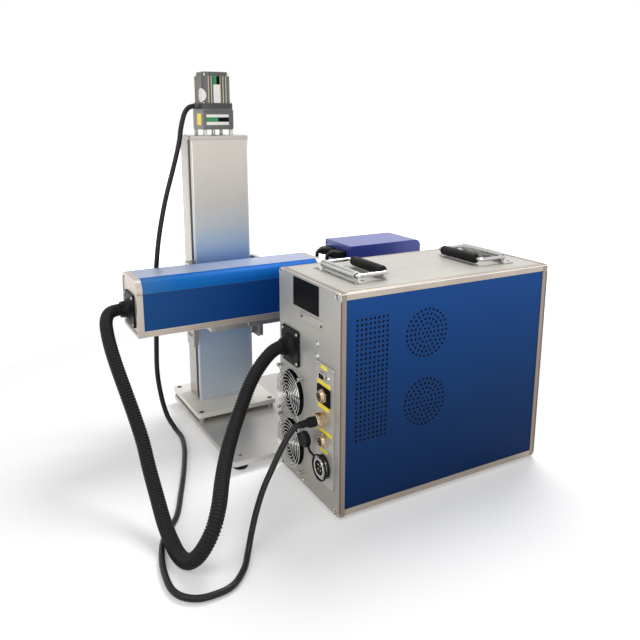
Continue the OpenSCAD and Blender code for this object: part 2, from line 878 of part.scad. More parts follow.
module fan_guards() {
  step = (guard_d - guard_hub_d) / 2 / guard_rings;
  spoke_l = fan_pitch / 2 * sqrt(2) - (guard_leg_d + fan_hole_d) / 4;
  color("lightgray") fan_centres() {
    difference() {
      union() {
        rod_x([-guard_h, 0, 0], guard_hub_d, guard_wire);
        for (k = [1 : guard_rings]) difference() {
          rod_x([-guard_h, 0, 0], guard_hub_d + 2 * k * step, guard_wire);
          rod_x([-guard_h - over, 0, 0], guard_hub_d + 2 * k * step - 2 * guard_wire,
            guard_wire + 2 * over);
        }
        for (k = [0 : guard_spokes - 1]) rotate([45 + 360 * k / guard_spokes, 0, 0])
          block([-guard_h, 0, -guard_spoke_w / 2], [guard_wire, spoke_l, guard_spoke_w]);
        fan_corners() rod_x([-guard_h, 0, 0], guard_leg_d, guard_h);
      }
      fan_corners() rod_x([-guard_h - over, 0, 0], fan_hole_d, guard_h + 2 * over);
    }
  }
}

// Connectors on the rear panel

// Raised plate with a pad below its upper socket
module connector_plate() {
  color("silver") difference() {
    union() {
      wall_plate([-conn_plate_t, conn_plate_y - conn_plate_w / 2, conn_plate_z], conn_plate_w,
        conn_plate_h, conn_plate_t, conn_r);
      wall_plate([-conn_plate_t - socket_plate_t, socket_y - socket_plate_w / 2,
        socket_plate_z - socket_plate_h / 2], socket_plate_w, socket_plate_h, socket_plate_t, conn_r);
    }
    for (z = [motor_socket_z, spare_socket_z, socket_plate_z])
      rod_x([-conn_plate_t - socket_plate_t - over, socket_y, z], socket_d,
        conn_plate_t + socket_plate_t + 2 * over);
  }
}

// Barrel with a blind bore, a six-sided nut round it, and a tail through the plate
module round_socket(back, tail) {
  rotate([0, -90, 0]) difference() {
    union() {
      translate([0, 0, back]) cylinder(d = socket_nut / cos(30), h = socket_nut_t, $fn = 6);
      translate([0, 0, back - tail]) cylinder(d = socket_d, h = tail + socket_nut_t + socket_l);
    }
    translate([0, 0, back + socket_nut_t + socket_wall])
      cylinder(d = socket_d - 2 * socket_wall, h = socket_l);
  }
}

module round_sockets() {
  color("goldenrod") {
    for (z = [motor_socket_z, spare_socket_z])
      translate([0, socket_y, z]) round_socket(conn_plate_t, conn_plate_t);
    translate([0, socket_y, socket_plate_z])
      round_socket(conn_plate_t + socket_plate_t, conn_plate_t + socket_plate_t);
    difference() {
      block([-conn_plate_t - port_l, conn_plate_y - port_w / 2, port_z - port_h / 2],
        [port_l, port_w, port_h]);
      block([-conn_plate_t - port_l - over, conn_plate_y - port_w / 2 + port_wall,
        port_z - port_h / 2 + port_wall],
        [port_l, port_w - 2 * port_wall, port_h - 2 * port_wall]);
    }
  }
}

// Plug on the motor socket: a ring over the barrel, a body and a boot round the cable
module motor_plug() {
  x = -conn_plate_t - socket_nut_t - rest_gap;
  end = x - plug_ring_l - plug_body_l - plug_boot_l;
  color("black") translate([0, socket_y, motor_socket_z]) difference() {
    union() {
      rod_x([x - plug_ring_l, 0, 0], plug_ring_d, plug_ring_l);
      rod_x([x - plug_ring_l - plug_body_l, 0, 0], plug_body_d, plug_body_l);
      rod_x([end, 0, 0], plug_boot_d, plug_boot_l);
    }
    rod_x([x - socket_l, 0, 0], socket_d + 2 * slip, socket_l + over);
  }
}

module power_inlet() {
  color("silver") translate([-conn_plate_t, socket_y, inlet_z]) rotate([0, -90, 0]) difference() {
    cylinder(d = inlet_d, h = inlet_l);
    translate([0, 0, inlet_wall]) cylinder(d = inlet_d - 2 * inlet_wall, h = inlet_l);
  }
}

module inlet_cap() {
  x = -cap_out;
  reach = [cap_y - socket_y, cap_z - inlet_z];
  span = norm(reach);
  color("black") {
    rod_x([x - cap_l, cap_y, cap_z], cap_d, cap_l);
    translate([x - strap_t, socket_y, inlet_z]) rotate([atan2(reach[1], reach[0]), 0, 0])
      block([0, inlet_d / 2 + slip, -strap_w / 2], [strap_t, span - inlet_d / 2, strap_w]);
    translate([0, socket_y, inlet_z]) difference() {
      rod_x([x - strap_t, 0, 0], inlet_d + 2 * slip + 2 * strap_t, strap_w);
      rod_x([x - strap_t - over, 0, 0], inlet_d + 2 * slip, strap_w + 2 * over);
    }
  }
}

module power_supply() {
  color("silver") block([supply_x, (cab_w - supply_w) / 2, floor_z], [supply_l, supply_w, supply_h]);
}

module laser_source() {
  y0 = (cab_w - source_w) / 2;
  step = (source_w - fin_t) / (fin_count - 1);
  color("darkslategray") {
    block([source_x, y0, floor_z + fin_h], [source_l, source_w, source_h - fin_h]);
    for (k = [0 : fin_count - 1]) block([source_x, y0 + k * step, floor_z], [source_l, fin_t, fin_h]);
  }
}

module control_board() {
  x0 = source_x + (source_l - board_l) / 2;
  y0 = (cab_w - board_w) / 2;
  z0 = floor_z + source_h;
  color("green") {
    block([x0, y0, z0 + board_post_h], [board_l, board_w, board_t]);
    for (x = [board_post_inset, board_l - board_post_inset],
      y = [board_post_inset, board_w - board_post_inset])
      rod_z([x0 + x, y0 + y, z0], board_post_d, board_post_h);
    for (k = [1 : chip_count])
      block([x0 + k * board_l / (chip_count + 1) - chip_s / 2, y0 + (board_w - chip_s) / 2,
        z0 + board_post_h + board_t], [chip_s, chip_s, chip_h]);
  }
}

// Front controls

module front_collars() {
  color("silver") for (k = [0 : 3]) translate([cab_l, control_y, stop_z - k * control_pitch_z])
    difference() {
      union() {
        rod_x([0, 0, 0], collar_d, collar_t);
        rod_x([-end_t - control_neck_l, 0, 0], control_d - 2 * slip, end_t + control_neck_l);
      }
      rod_x([-end_t - control_neck_l - over, 0, 0],
        (k == 0 ? stop_stem_d : k == 1 ? plug_core_d : push_d) + 2 * run,
        end_t + control_neck_l + collar_t + 2 * over);
    }
}

module stop_button() {
  back = end_t + control_neck_l;
  color("red") translate([cab_l, control_y, stop_z]) {
    rod_x([-back, 0, 0], stop_stem_d, back + collar_t + stop_gap);
    rod_x([collar_t + stop_gap, 0, 0], stop_d, stop_t);
  }
}

module key() {
  back = end_t + control_neck_l;
  front = collar_t + plug_core_out;
  color("silver") translate([cab_l, control_y, stop_z - control_pitch_z]) {
    rod_x([-back, 0, 0], plug_core_d, back + front);
    block([front, -key_bow_t / 2, -key_bow_w / 4], [key_shank_l, key_bow_t, key_bow_w / 2]);
    rod_y([front + key_shank_l + key_bow_l / 2, -key_bow_t / 2, 0], key_bow_w, key_bow_t);
  }
}

module push_button(k) {
  translate([cab_l, control_y, stop_z - k * control_pitch_z])
    rod_x([collar_t + push_out - push_back - collar_t, 0, 0], push_d, push_back + collar_t);
}

module power_button() {
  color("green") push_button(2);
}

module start_button() {
  color("gold") push_button(3);
}

// Handles: a base with a barrel in three knuckles, a bail that turns in it, and a grip

module handle_place(front) {
  translate([front ? cab_l - handle_inset : handle_inset, handle_y, 0])
    mirror([front ? 1 : 0, 0, 0]) children();
}

module handle_base() {
  knuckle = (barrel_l - (knuckles - 1) * knuckle_gap) / knuckles;
  edge = (handle_l - barrel_l) / 4;
  difference() {
    union() {
      lying_plate([-handle_base_w / 2, -handle_l / 2, cab_h], handle_base_w, handle_l, handle_base_t,
        handle_base_t);
      for (k = [0 : knuckles - 1]) translate([0, -barrel_l / 2 + k * (knuckle + knuckle_gap), 0]) {
        rod_y([0, 0, handle_z], barrel_d, knuckle);
        block([-knuckle_web / 2, 0, cab_h], [knuckle_web, knuckle, handle_up]);
      }
    }
    rod_y([0, -handle_l / 2, handle_z], bail_d + 4 * spring_wall, handle_l);
    for (x = [-1, 1], y = [-1, 0, 1])
      translate([x * (handle_base_w + barrel_d) / 4, y * (handle_l / 2 - 2 * edge), cab_h - over])
        cylinder(d = slot_d, h = handle_base_t + 2 * over);
  }
}

module handle_bases() {
  color("silver") for (front = [false, true]) handle_place(front) handle_base();
}

module handle_springs() {
  color("gray") for (front = [false, true]) handle_place(front) difference() {
    rod_y([0, -barrel_l / 2, handle_z], bail_d + 4 * spring_wall - run, barrel_l);
    rod_y([0, -barrel_l / 2 - over, handle_z], bail_d + 2 * run, barrel_l + 2 * over);
  }
}

// Quarter bend of the bail's rod at a corner, from the rod along Y to the rod along X
module bail_bend() {
  rotate_extrude(angle = 90) translate([bail_bend_r, 0]) circle(d = bail_d);
}

// Closed loop of rod: the hinge rod, the grip's rod and two sides, with four bends
module bail() {
  half = barrel_l / 2 + bail_bend_r;
  color("silver") translate([0, 0, handle_z]) {
    for (x = [0, handle_reach]) rod_y([x, -barrel_l / 2, 0], bail_d, barrel_l);
    for (y = [-half, half]) rod_x([bail_bend_r, y, 0], bail_d, handle_reach - 2 * bail_bend_r);
    translate([handle_reach - bail_bend_r, barrel_l / 2, 0]) bail_bend();
    translate([bail_bend_r, barrel_l / 2, 0]) rotate(90) bail_bend();
    translate([bail_bend_r, -barrel_l / 2, 0]) rotate(180) bail_bend();
    translate([handle_reach - bail_bend_r, -barrel_l / 2, 0]) rotate(270) bail_bend();
  }
}

module grip() {
  color("black") difference() {
    rod_y([handle_reach, -grip_l / 2, handle_z], grip_d, grip_l);
    rod_y([handle_reach, -grip_l / 2 - over, handle_z], bail_d, grip_l + 2 * over);
  }
}

module rear_bail() {
  handle_place(false) bail();
}

module rear_grip() {
  handle_place(false) grip();
}

module front_bail() {
  handle_place(true) bail();
}

module front_grip() {
  handle_place(true) grip();
}

// Stand

module base_plate() {
  color("gainsboro") difference() {
    lying_plate([base_x0, base_y0, base_z0], base_l, base_w, base_t, base_r);
    for (x = [base_x0 + base_bolt_inset, base_x0 + base_l - base_bolt_inset],
      y = [base_y0 + base_bolt_inset, base_y1 - base_bolt_inset])
      rod_z([x, y, base_z0 - over], base_bolt_d, base_t + 2 * over);
    for (i = [0 : work_cols - 1], j = [0 : work_rows - 1])
      rod_z([lens_x + (i - (work_cols - 1) / 2) * work_pitch,
        lens_y + (j - (work_rows - 1) / 2) * work_pitch, base_z0 - over], work_hole_d,
        base_t + 2 * over);
  }
}

module foot_corners() {
  for (x = [foot_x0 + foot_hole_inset, foot_x0 + foot_l - foot_hole_inset],
    y = [foot_y0 + foot_hole_inset, foot_y0 + foot_w - foot_hole_inset])
    translate([x, y, 0]) children();
}

module foot_plate() {
  color("lightgray") difference() {
    lying_plate([foot_x0, foot_y0, foot_z0], foot_l, foot_w, foot_t, foot_r);
    foot_corners() rod_z([0, 0, foot_z0 - over], foot_hole_d, foot_t + 2 * over);
  }
}

module standoffs() {
  reach = motor_w / 2 - standoff_inset;
  color("silver") {
    foot_corners() translate([0, 0, base_z1]) cylinder(d = spacer_d, h = spacer_h);
    for (x = [-reach, reach], y = [-reach, reach])
      rod_z([col_x + x, screw_y + y, col_top], standoff_d, standoff_h);
  }
}

// The column's profile: a back wall and two side walls, open towards the cover
module column_body() {
  x0 = col_x - col_w / 2;
  h = col_prof_z1 - foot_z1;
  color("silver") {
    block([x0, col_y1 - col_wall, foot_z1], [col_w, col_wall, h]);
    for (x = [x0, x0 + col_w - col_wall])
      block([x, col_side_y, foot_z1], [col_wall, col_y1 - col_wall - col_side_y, h]);
    translate([col_x, screw_y, foot_z1]) cylinder(d = screw_bearing_d, h = screw_z0 - foot_z1);
  }
}

module column_cover() {
  x0 = col_x - col_w / 2;
  h = col_prof_z1 - foot_z1;
  color("silver") {
    block([x0, col_y0, foot_z1], [col_w, cover_t, h]);
    for (x = [x0, x0 + col_w - cover_t]) block([x, col_y0 + cover_t, foot_z1], [cover_t, cover_return, h]);
  }
}

module column_top_plate() {
  color("gainsboro") difference() {
    block([col_x - col_w / 2, col_y0, col_prof_z1], [col_w, col_d, col_top_t]);
    rod_z([col_x, screw_y, col_prof_z1 - over], coupling_d + 2 * rest_gap, col_top_t + 2 * over);
  }
}

module guide_rails() {
  color("lightgray") for (side = [-1, 1])
    block([col_x + side * rail_pitch / 2 - rail_w / 2, col_y1 - col_wall - rail_h, foot_z1],
      [rail_w, rail_h, col_prof_z1 - foot_z1]);
}

module gearbox() {
  color("silver") translate([col_x, screw_y, 0]) difference() {
    lying_plate([-motor_w / 2, -motor_w / 2, gear_z0], motor_w, motor_w, gearbox_h, motor_corner);
    rod_z([0, 0, gear_z0 - over], shaft_d + 2 * run, gearbox_h + 2 * over);
  }
}

// Flange, a rounded body with upright ribs, a smaller plain cap and the cable's gland
module motor() {
  w = motor_body_w;
  core = w - 2 * motor_fin;
  cap = core - 2 * motor_cap_step;
  flange = motor_w - motor_edge;
  rib_pitch = (w - 2 * motor_round - motor_rib_w) / (motor_ribs - 1);
  color("dimgray") translate([col_x, screw_y, 0]) difference() {
    union() {
      lying_plate([-flange / 2, -flange / 2, motor_z0], flange, flange, motor_flange_h, motor_corner);
      lying_plate([-core / 2, -core / 2, motor_body_z0], core, core, motor_h - motor_cap_h,
        motor_round);
      lying_plate([-cap / 2, -cap / 2, motor_body_z0], cap, cap, motor_h, motor_round);
      for (side = [0 : 3], k = [0 : motor_ribs - 1]) rotate(90 * side)
        block([core / 2 - motor_fin, (k - (motor_ribs - 1) / 2) * rib_pitch - motor_rib_w / 2,
          motor_body_z0], [2 * motor_fin, motor_rib_w, motor_h - motor_cap_h]);
      rod_x([-w / 2 - gland_l, 0, motor_z0 + motor_flange_h / 2], gland_d, gland_l + motor_fin);
    }
    rod_z([0, 0, motor_z0 - over], shaft_d + 2 * run, motor_flange_h + 2 * over);
    rod_z([0, 0, motor_body_z0], rotor_d + 2 * rotor_gap, rotor_l + 2 * rotor_gap);
    rod_x([-w / 2 - gland_l - over, 0, motor_z0 + motor_flange_h / 2], cable_d + slip, over + rest_gap);
  }
}

// Screw, coupling, shaft and motor rotor turn as one
module lead_screw() {
  coupling_z0 = col_prof_z1 - standoff_h;
  color("lightgray") translate([col_x, screw_y, 0]) {
    rod_z([0, 0, screw_z0], screw_d, coupling_z0 - screw_z0);
    rod_z([0, 0, coupling_z0], coupling_d, standoff_h + col_top_t + rest_gap);
    rod_z([0, 0, col_top + rest_gap], shaft_d, motor_body_z0 + rotor_gap - col_top - rest_gap);
    rod_z([0, 0, motor_body_z0 + rotor_gap], rotor_d, rotor_l);
  }
}

// Carriage: an inner plate through both slots, a cheek at each side, and a shelf that the arm lies on

module carriage() {
  cheek_y0 = arm_y1;
  color("lightgray") {
    block([cheek_x0, car_y0, car_z0], [car_w, car_t, car_h]);
    for (x = [cheek_x0, cheek_x1 - car_t])
      translate([x, cheek_y0, car_z0]) rotate([90, 0, 90]) linear_extrude(car_t)
        union() {
          translate([cheek_r, 0]) square([car_y0 - cheek_y0 - cheek_r, car_h]);
          translate([0, cheek_r]) square([car_y0 - cheek_y0, car_h - cheek_r]);
          translate([cheek_r, cheek_r]) circle(r = cheek_r);
        }
    block([cheek_x0, arm_y0, arm_z - shelf_t], [car_w, arm_w + shelf_lap, shelf_t]);
  }
}

// Four bearing blocks that straddle the rails, and the nut on the screw
module slide_blocks() {
  top = col_y1 - col_wall - rail_h / 2;
  color("silver") {
    for (side = [-1, 1], z = [car_z0 + slide_block_inset, car_z1 - slide_block_inset - slide_block_h])
      difference() {
        block([col_x + side * rail_pitch / 2 - slide_block_w / 2, car_y1, z],
          [slide_block_w, top - car_y1, slide_block_h]);
        block([col_x + side * rail_pitch / 2 - rail_w / 2 - block_clear,
          col_y1 - col_wall - rail_h - block_clear, z - over],
          [rail_w + 2 * block_clear, rail_h, slide_block_h + 2 * over]);
      }
    difference() {
      block([col_x - nut_w / 2, car_y1, (car_z0 + car_z1 - nut_h) / 2],
        [nut_w, screw_y + nut_w / 2 - car_y1, nut_h]);
      rod_z([col_x, screw_y, (car_z0 + car_z1 - nut_h) / 2 - over], screw_d + 2 * run,
        nut_h + 2 * over);
    }
  }
}

// Arm

module arm_base() {
  x0 = arm_x0 + cap_t;
  color("silver") translate([x0, arm_y0, arm_z]) rotate([90, 0, 90]) linear_extrude(arm_l)
    difference() {
      square([arm_w, arm_base_h]);
      translate([arm_wall, arm_wall]) square([arm_w - 2 * arm_wall, arm_base_h]);
    }
}

module arm_side_panels() {
  color("royalblue") for (y = [arm_y0, arm_y1 - arm_wall])
    block([arm_x0 + cap_t, y, arm_z + arm_base_h], [arm_l, arm_wall, panel_top - arm_base_h]);
}

// One quarter-round cover: a short leg down to the seam and an arc up to the top strip
module corner_outline() {
  difference() {
    union() {
      translate([0, panel_top + seam]) square([arm_r, arm_h - arm_r - panel_top - seam]);
      translate([arm_r, arm_h - arm_r]) intersection() {
        circle(r = arm_r);
        translate([-arm_r, 0]) square([arm_r, arm_r]);
      }
    }
    translate([arm_wall, panel_top]) square([arm_r, arm_h - arm_r - panel_top]);
    translate([arm_r, arm_h - arm_r]) circle(r = arm_r - arm_wall);
  }
}

module arm_corner_covers() {
  color("dodgerblue") translate([arm_x0 + cap_t, arm_y0, arm_z]) rotate([90, 0, 90])
    linear_extrude(arm_l) {
      corner_outline();
      translate([arm_w, 0]) mirror([1, 0]) corner_outline();
    }
}

module arm_top_strip() {
  step = arm_top_w / (strip_grooves + 1);
  color("gainsboro") difference() {
    block([arm_x0 + cap_t, arm_y0 + arm_r, arm_z + arm_h - strip_t], [arm_l, arm_top_w, strip_t]);
    for (k = [1 : strip_grooves])
      block([arm_x0 + cap_t - over, arm_y0 + arm_r + k * step - strip_groove_w / 2,
        arm_z + arm_h - strip_groove], [arm_l + 2 * over, strip_groove_w, strip_groove + over]);
  }
}

// The arm's section as a full outline, drawn in by an edge
module arm_outline(edge) {
  r = arm_r - edge;
  translate([edge, edge]) square([arm_w - 2 * edge, arm_h - arm_r - edge]);
  translate([arm_r, edge]) square([arm_w - 2 * arm_r, arm_h - 2 * edge]);
  for (y = [arm_r, arm_w - arm_r]) translate([y, arm_h - arm_r]) circle(r = r);
}

// Cuts that carry the covers' seams on across an end cap
module cap_seams() {
  for (y = [-over, arm_w - cap_seam_deep])
    block([-over, y, panel_top], [cap_t + 2 * over, over + cap_seam_deep, seam]);
}

module arm_end_caps() {
  color("gainsboro") {
    translate([arm_x0, arm_y0, arm_z]) difference() {
      rotate([90, 0, 90]) linear_extrude(cap_t) arm_outline(0);
      translate([-over, 0, 0]) rotate([90, 0, 90]) linear_extrude(cap_recess + over)
        arm_outline(cap_rim);
      rod_x([-over, arm_w / 2, arm_flange_up], hose_bore_d, cap_t + 2 * over);
      cap_seams();
    }
    translate([arm_x1 - cap_t, arm_y0, arm_z]) difference() {
      rotate([90, 0, 90]) linear_extrude(cap_t) arm_outline(0);
      rod_x([-over, beam_y - arm_y0, mirror_z - arm_z], beam_tube_d, cap_t + 2 * over);
      cap_seams();
    }
  }
}

module arm_hose_flange() {
  color("dimgray") translate([arm_x0 + cap_recess, arm_y, arm_z + arm_flange_up])
    hose_flange(arm_flange_w);
}

// Isolator in the arm and the beam tube that carries the head, on one axis
module laser_head() {
  tube_x0 = arm_x1 - cap_t;
  foot_w2 = isolator_d / 2;
  color("gray") {
    rod_x([tube_x0, beam_y, mirror_z], beam_tube_d, head_x0 + head_wall - tube_x0);
    rod_x([tube_x0 - isolator_l, beam_y, mirror_z], isolator_d, isolator_l);
    for (x = [tube_x0 - isolator_l, tube_x0 - isolator_foot])
      block([x, beam_y - foot_w2 / 2, arm_z + arm_wall],
        [isolator_foot, foot_w2, mirror_z - arm_z - arm_wall - isolator_d / 4]);
  }
}

// Scan head

module head_outline(edge) {
  r = head_r - edge;
  translate([edge, edge]) square([head_l - 2 * edge, head_h - head_r - edge]);
  translate([edge, edge]) square([head_l - head_r - edge, head_h - 2 * edge]);
  translate([head_l - head_r, head_h - head_r]) circle(r = r);
}

module head_housing() {
  color("slateblue") translate([head_x0, head_y0, head_z0]) difference() {
    translate([0, head_w, 0]) rotate([90, 0, 0]) linear_extrude(head_w) head_outline(0);
    translate([0, head_w - head_wall, 0]) rotate([90, 0, 0]) linear_extrude(head_w - 2 * head_wall)
      head_outline(head_wall);
    rod_x([-over, beam_y - head_y0, mirror_z - head_z0], beam_tube_d, head_wall + 2 * over);
    rod_z([lens_x - head_x0, lens_y - head_y0, -over], lens_clear_d, head_wall + 2 * over);
  }
}

// Two cable plugs on the head's rear face, with cables that drop and go back into the arm
module head_connectors() {
  turn = plug_shell_l + plug_cable_out;
  color("black") for (side = [-1, 1])
    translate([head_x0, lens_y + side * plug_shell_pitch / 2, head_z1 - plug_shell_up]) {
      block([-plug_shell_l, -plug_shell_w / 2, -plug_shell_h / 2],
        [plug_shell_l, plug_shell_w, plug_shell_h]);
      rod_x([-turn, 0, 0], plug_cable_d, plug_cable_out);
      rod_z([-turn, 0, -plug_cable_fall], plug_cable_d, plug_cable_fall);
      rod_x([-head_gap, 0, -plug_cable_fall], plug_cable_d, head_gap - turn);
      for (z = [-plug_cable_fall, 0]) translate([-turn, 0, z]) sphere(d = plug_cable_d);
    }
}

module scan_motors() {
  color("dimgray") {
    rod_z([lens_x, beam_y, mirror_z + mirror_l / 2 + mirror_gap], scan_motor_d,
      head_z1 - head_wall - mirror_z - mirror_l / 2 - mirror_gap);
    translate([lens_x - mirror_l / 2 - mirror_gap - scan_motor_l, lens_y, 0]) {
      rod_x([0, 0, mirror_z], scan_motor_d, scan_motor_l);
      block([0, -scan_motor_d / 2, head_z0 + head_wall],
        [scan_clamp_l, scan_motor_d, mirror_z - head_z0 - head_wall]);
    }
  }
}

// A mirror that stands on its edge in a foot, with the motor's shaft on the foot
module scan_mirror() {
  foot = mirror_foot;
  foot_z = mirror_l / 2 - foot[2] / 2;
  block([-mirror_w / 2, -mirror_t / 2, -mirror_l / 2], [mirror_w, mirror_t, mirror_l]);
  block([-foot[0] / 2, -foot[1] / 2, foot_z], foot);
  rod_z([0, 0, foot_z + foot[2]], mirror_shaft_d, mirror_gap - foot[2] / 2);
}

module mirror_x() {
  color("lightcyan") translate([lens_x, beam_y, mirror_z]) rotate(45) scan_mirror();
}

module mirror_y() {
  color("lightcyan") translate([lens_x, lens_y, mirror_z]) rotate([45, 0, 0])
    rotate([0, -90, 0]) rotate(90) scan_mirror();
}

// Lens barrel in two steps, hung from the head's floor, with a glass at its lower end
module lens() {
  step_z = lens_z0 + lens_h * lens_step_share;
  color("black") translate([lens_x, lens_y, 0]) {
    difference() {
      union() {
        translate([0, 0, lens_z0]) cylinder(d = lens_d, h = lens_h * lens_step_share);
        translate([0, 0, step_z]) cylinder(d = lens_d - lens_step, h = head_z0 - step_z - lens_flange_t);
        translate([0, 0, head_z0 - lens_flange_t]) cylinder(d = lens_d, h = lens_flange_t);
      }
      translate([0, 0, lens_z0 + lens_cell_t]) cylinder(d = lens_clear_d, h = lens_h);
      translate([0, 0, lens_z0 - over]) cylinder(d = lens_clear_d - lens_cell_t, h = lens_h);
    }
    translate([0, 0, lens_z0 + lens_cell_t]) cylinder(d = lens_clear_d, h = lens_cell_t);
  }
}

// Cords

module ribbed_hose() {
  sides = hose_sides;
  outer = len(hose_line);
  inner = len(hose_bore_line);
  radii = [for (i = [0 : outer - 1]) hose_d / 2 - (i % 2 == 0 ? 0 : hose_groove)];
  bores = [for (i = [0 : inner - 1]) hose_bore_d / 2];
  start = outer * sides;
  color("dimgray") polyhedron(
    points = concat(rings(hose_line, radii, sides), rings(hose_bore_line, bores, sides)),
    faces = concat(wall(0, outer, sides, false), wall(start, inner, sides, true),
      mouth(0, start, sides, false),
      mouth((outer - 1) * sides, start + (inner - 1) * sides, sides, true)));
}

module motor_cable() {
  sides = cable_sides;
  count = len(cable_line);
  radii = [for (i = [0 : count - 1]) cable_d / 2];
  color("black") polyhedron(points = rings(cable_line, radii, sides),
    faces = concat(wall(0, count, sides, false), lid(0, sides, false),
      lid((count - 1) * sides, sides, true)));
}

placed() end_frames();
placed() corner_rails();
placed() top_cover();
placed() bottom_plate();
placed() near_side_panel();
placed() far_side_panel();
placed() rear_panel();
placed() front_panel();
placed() rubber_feet();
placed() cabinet_hose_flange();
placed() fan_housings();
placed() upper_fan_rotor();
placed() lower_fan_rotor();
placed() fan_guards();
placed() connector_plate();
placed() round_sockets();
placed() motor_plug();
placed() power_inlet();
placed() inlet_cap();
placed() laser_source();
placed() power_supply();
placed() control_board();
placed() stop_button();
placed() key();
placed() power_button();
placed() start_button();
placed() front_collars();
placed() handle_bases();
placed() handle_springs();
placed() rear_bail();
placed() rear_grip();
placed() front_bail();
placed() front_grip();
placed() base_plate();
placed() foot_plate();
placed() standoffs();
placed() column_body();
placed() column_cover();
placed() column_top_plate();
placed() guide_rails();
placed() gearbox();
placed() motor();
placed() lead_screw();
placed() carriage();
placed() slide_blocks();
placed() arm_base();
placed() arm_side_panels();
placed() arm_corner_covers();
placed() arm_top_strip();
placed() arm_end_caps();
placed() arm_hose_flange();
placed() laser_head();
placed() head_housing();
placed() head_connectors();
placed() scan_motors();
placed() mirror_x();
placed() mirror_y();
placed() lens();
placed() ribbed_hose();
placed() motor_cable();
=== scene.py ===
"""Split laser marking machine: a cabinet, and beside it a stand whose column lifts an arm
with a scan head. Finishes and fine forms go over the solid model here. Sizes are written in
millimetres, as on the drawing: X from the machine's rear to its front, Y from the cabinet
to the column, Z up."""

import json
import math

import bmesh
import bpy
from mathutils import Matrix, Vector

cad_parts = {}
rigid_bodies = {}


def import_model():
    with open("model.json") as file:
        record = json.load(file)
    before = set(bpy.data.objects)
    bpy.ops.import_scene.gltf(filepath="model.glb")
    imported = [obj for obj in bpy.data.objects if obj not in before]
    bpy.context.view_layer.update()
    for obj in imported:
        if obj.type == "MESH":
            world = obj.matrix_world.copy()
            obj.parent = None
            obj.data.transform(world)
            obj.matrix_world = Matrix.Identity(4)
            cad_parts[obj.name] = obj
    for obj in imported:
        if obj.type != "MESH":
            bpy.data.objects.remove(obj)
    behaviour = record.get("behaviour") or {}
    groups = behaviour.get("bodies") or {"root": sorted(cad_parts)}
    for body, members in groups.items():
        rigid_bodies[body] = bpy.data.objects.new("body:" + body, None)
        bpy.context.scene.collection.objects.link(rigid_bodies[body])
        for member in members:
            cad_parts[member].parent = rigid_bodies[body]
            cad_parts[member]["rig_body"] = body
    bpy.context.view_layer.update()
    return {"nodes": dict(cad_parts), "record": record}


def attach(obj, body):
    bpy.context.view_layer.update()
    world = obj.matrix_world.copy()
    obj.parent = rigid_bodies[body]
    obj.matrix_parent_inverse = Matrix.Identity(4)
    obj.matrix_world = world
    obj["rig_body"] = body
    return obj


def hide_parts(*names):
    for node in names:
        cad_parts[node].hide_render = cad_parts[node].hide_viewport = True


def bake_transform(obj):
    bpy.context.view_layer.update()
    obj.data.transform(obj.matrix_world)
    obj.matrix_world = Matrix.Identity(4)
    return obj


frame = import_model()
scene = bpy.context.scene
nodes = frame["nodes"]
slot_of = {s["node"]: s["material_slot"] for s in frame["record"]["subparts"]}

# The frame's origin is on the bench below the middle of the machine
MIDDLE = Vector((112, 295, 0))

# Places and sizes on the drawing. A box is its low x and y, its high x and y, and the heights of
# its underside and top. A flange is its face's x, its middle's y and z, and its side
CAB_L, CAB_W, CAB_H = 446, 216, 390
BAR = 12
FAN_Y, FAN_HIGH, FAN_LOW = 165, 167, 71
FAN_PITCH = 82.5
GUARD_OUT = 12
FLANGE_T = 4
CAB_FLANGE = (0, 169, 256, 66)
ARM_FLANGE = (-226, 400, 297, 64)
PLATE_X = -3
SOCKET_Y = 44
MOTOR_SOCKET, SPARE_SOCKET, INLET_Z, PAD_Z, PORT_Z = 166, 127, 80, 207.5, 242
HANDLE_INSET, HANDLE_Z, HANDLE_Y, HANDLE_REACH = 62, 401, 108, 58
CONTROL_X, CONTROL_Y, STOP_Z, CONTROL_PITCH = CAB_L - 13, 46, 330, 52
BASE = (-97, 222, 443, 590, 14, 24)
FOOT = (-97, 414, 83, 590, 32, 42)
COLUMN = (-69, 478, 55, 548, 42, 608)
MOTOR_X, MOTOR_Y = -7, 515
GEAR_Z, FLANGE_Z, BODY_Z, CAP_Z = 628, 669, 681, 735
ARM = (-228, 345, 166, 455, 252, 362)
HEAD = (230, 345, 416, 455, 274, 384)
LENS = (356, 400, 228)


def at(x, y, z):
    """A place on the drawing as a point of the frame, in metres."""
    return (Vector((x, y, z)) - MIDDLE) / 1000


# Finishes


def linear(code):
    """A colour written as #RRGGBB, as linear red, green, blue and alpha."""
    parts = [int(code[i : i + 2], 16) / 255 for i in (1, 3, 5)]
    return [p / 12.92 if p <= 0.04045 else ((p + 0.055) / 1.055) ** 2.4 for p in parts] + [1]


def shader_group(name, takes, gives):
    """A shader node group with named inputs and outputs, and its two end nodes."""
    tree = bpy.data.node_groups.new(name, "ShaderNodeTree")
    for label, kind, value in takes:
        tree.interface.new_socket(label, in_out="INPUT", socket_type=kind).default_value = value
    for label, kind in gives:
        tree.interface.new_socket(label, in_out="OUTPUT", socket_type=kind)
    start = tree.nodes.new("NodeGroupInput")
    end = tree.nodes.new("NodeGroupOutput")
    return tree, start.outputs, end.inputs


def feed(tree, socket, value):
    """Sets an input, or links it where the value is another node's output."""
    if isinstance(value, bpy.types.NodeSocket):
        tree.links.new(value, socket)
    else:
        socket.default_value = value


def maths(tree, operation, a, b=0.0, c=0.0, clamp=False):
    """The output of plain maths on values or other outputs."""
    node = tree.nodes.new("ShaderNodeMath")
    node.operation = operation
    node.use_clamp = clamp
    for socket, value in zip(node.inputs, (a, b, c)):
        feed(tree, socket, value)
    return node.outputs[0]


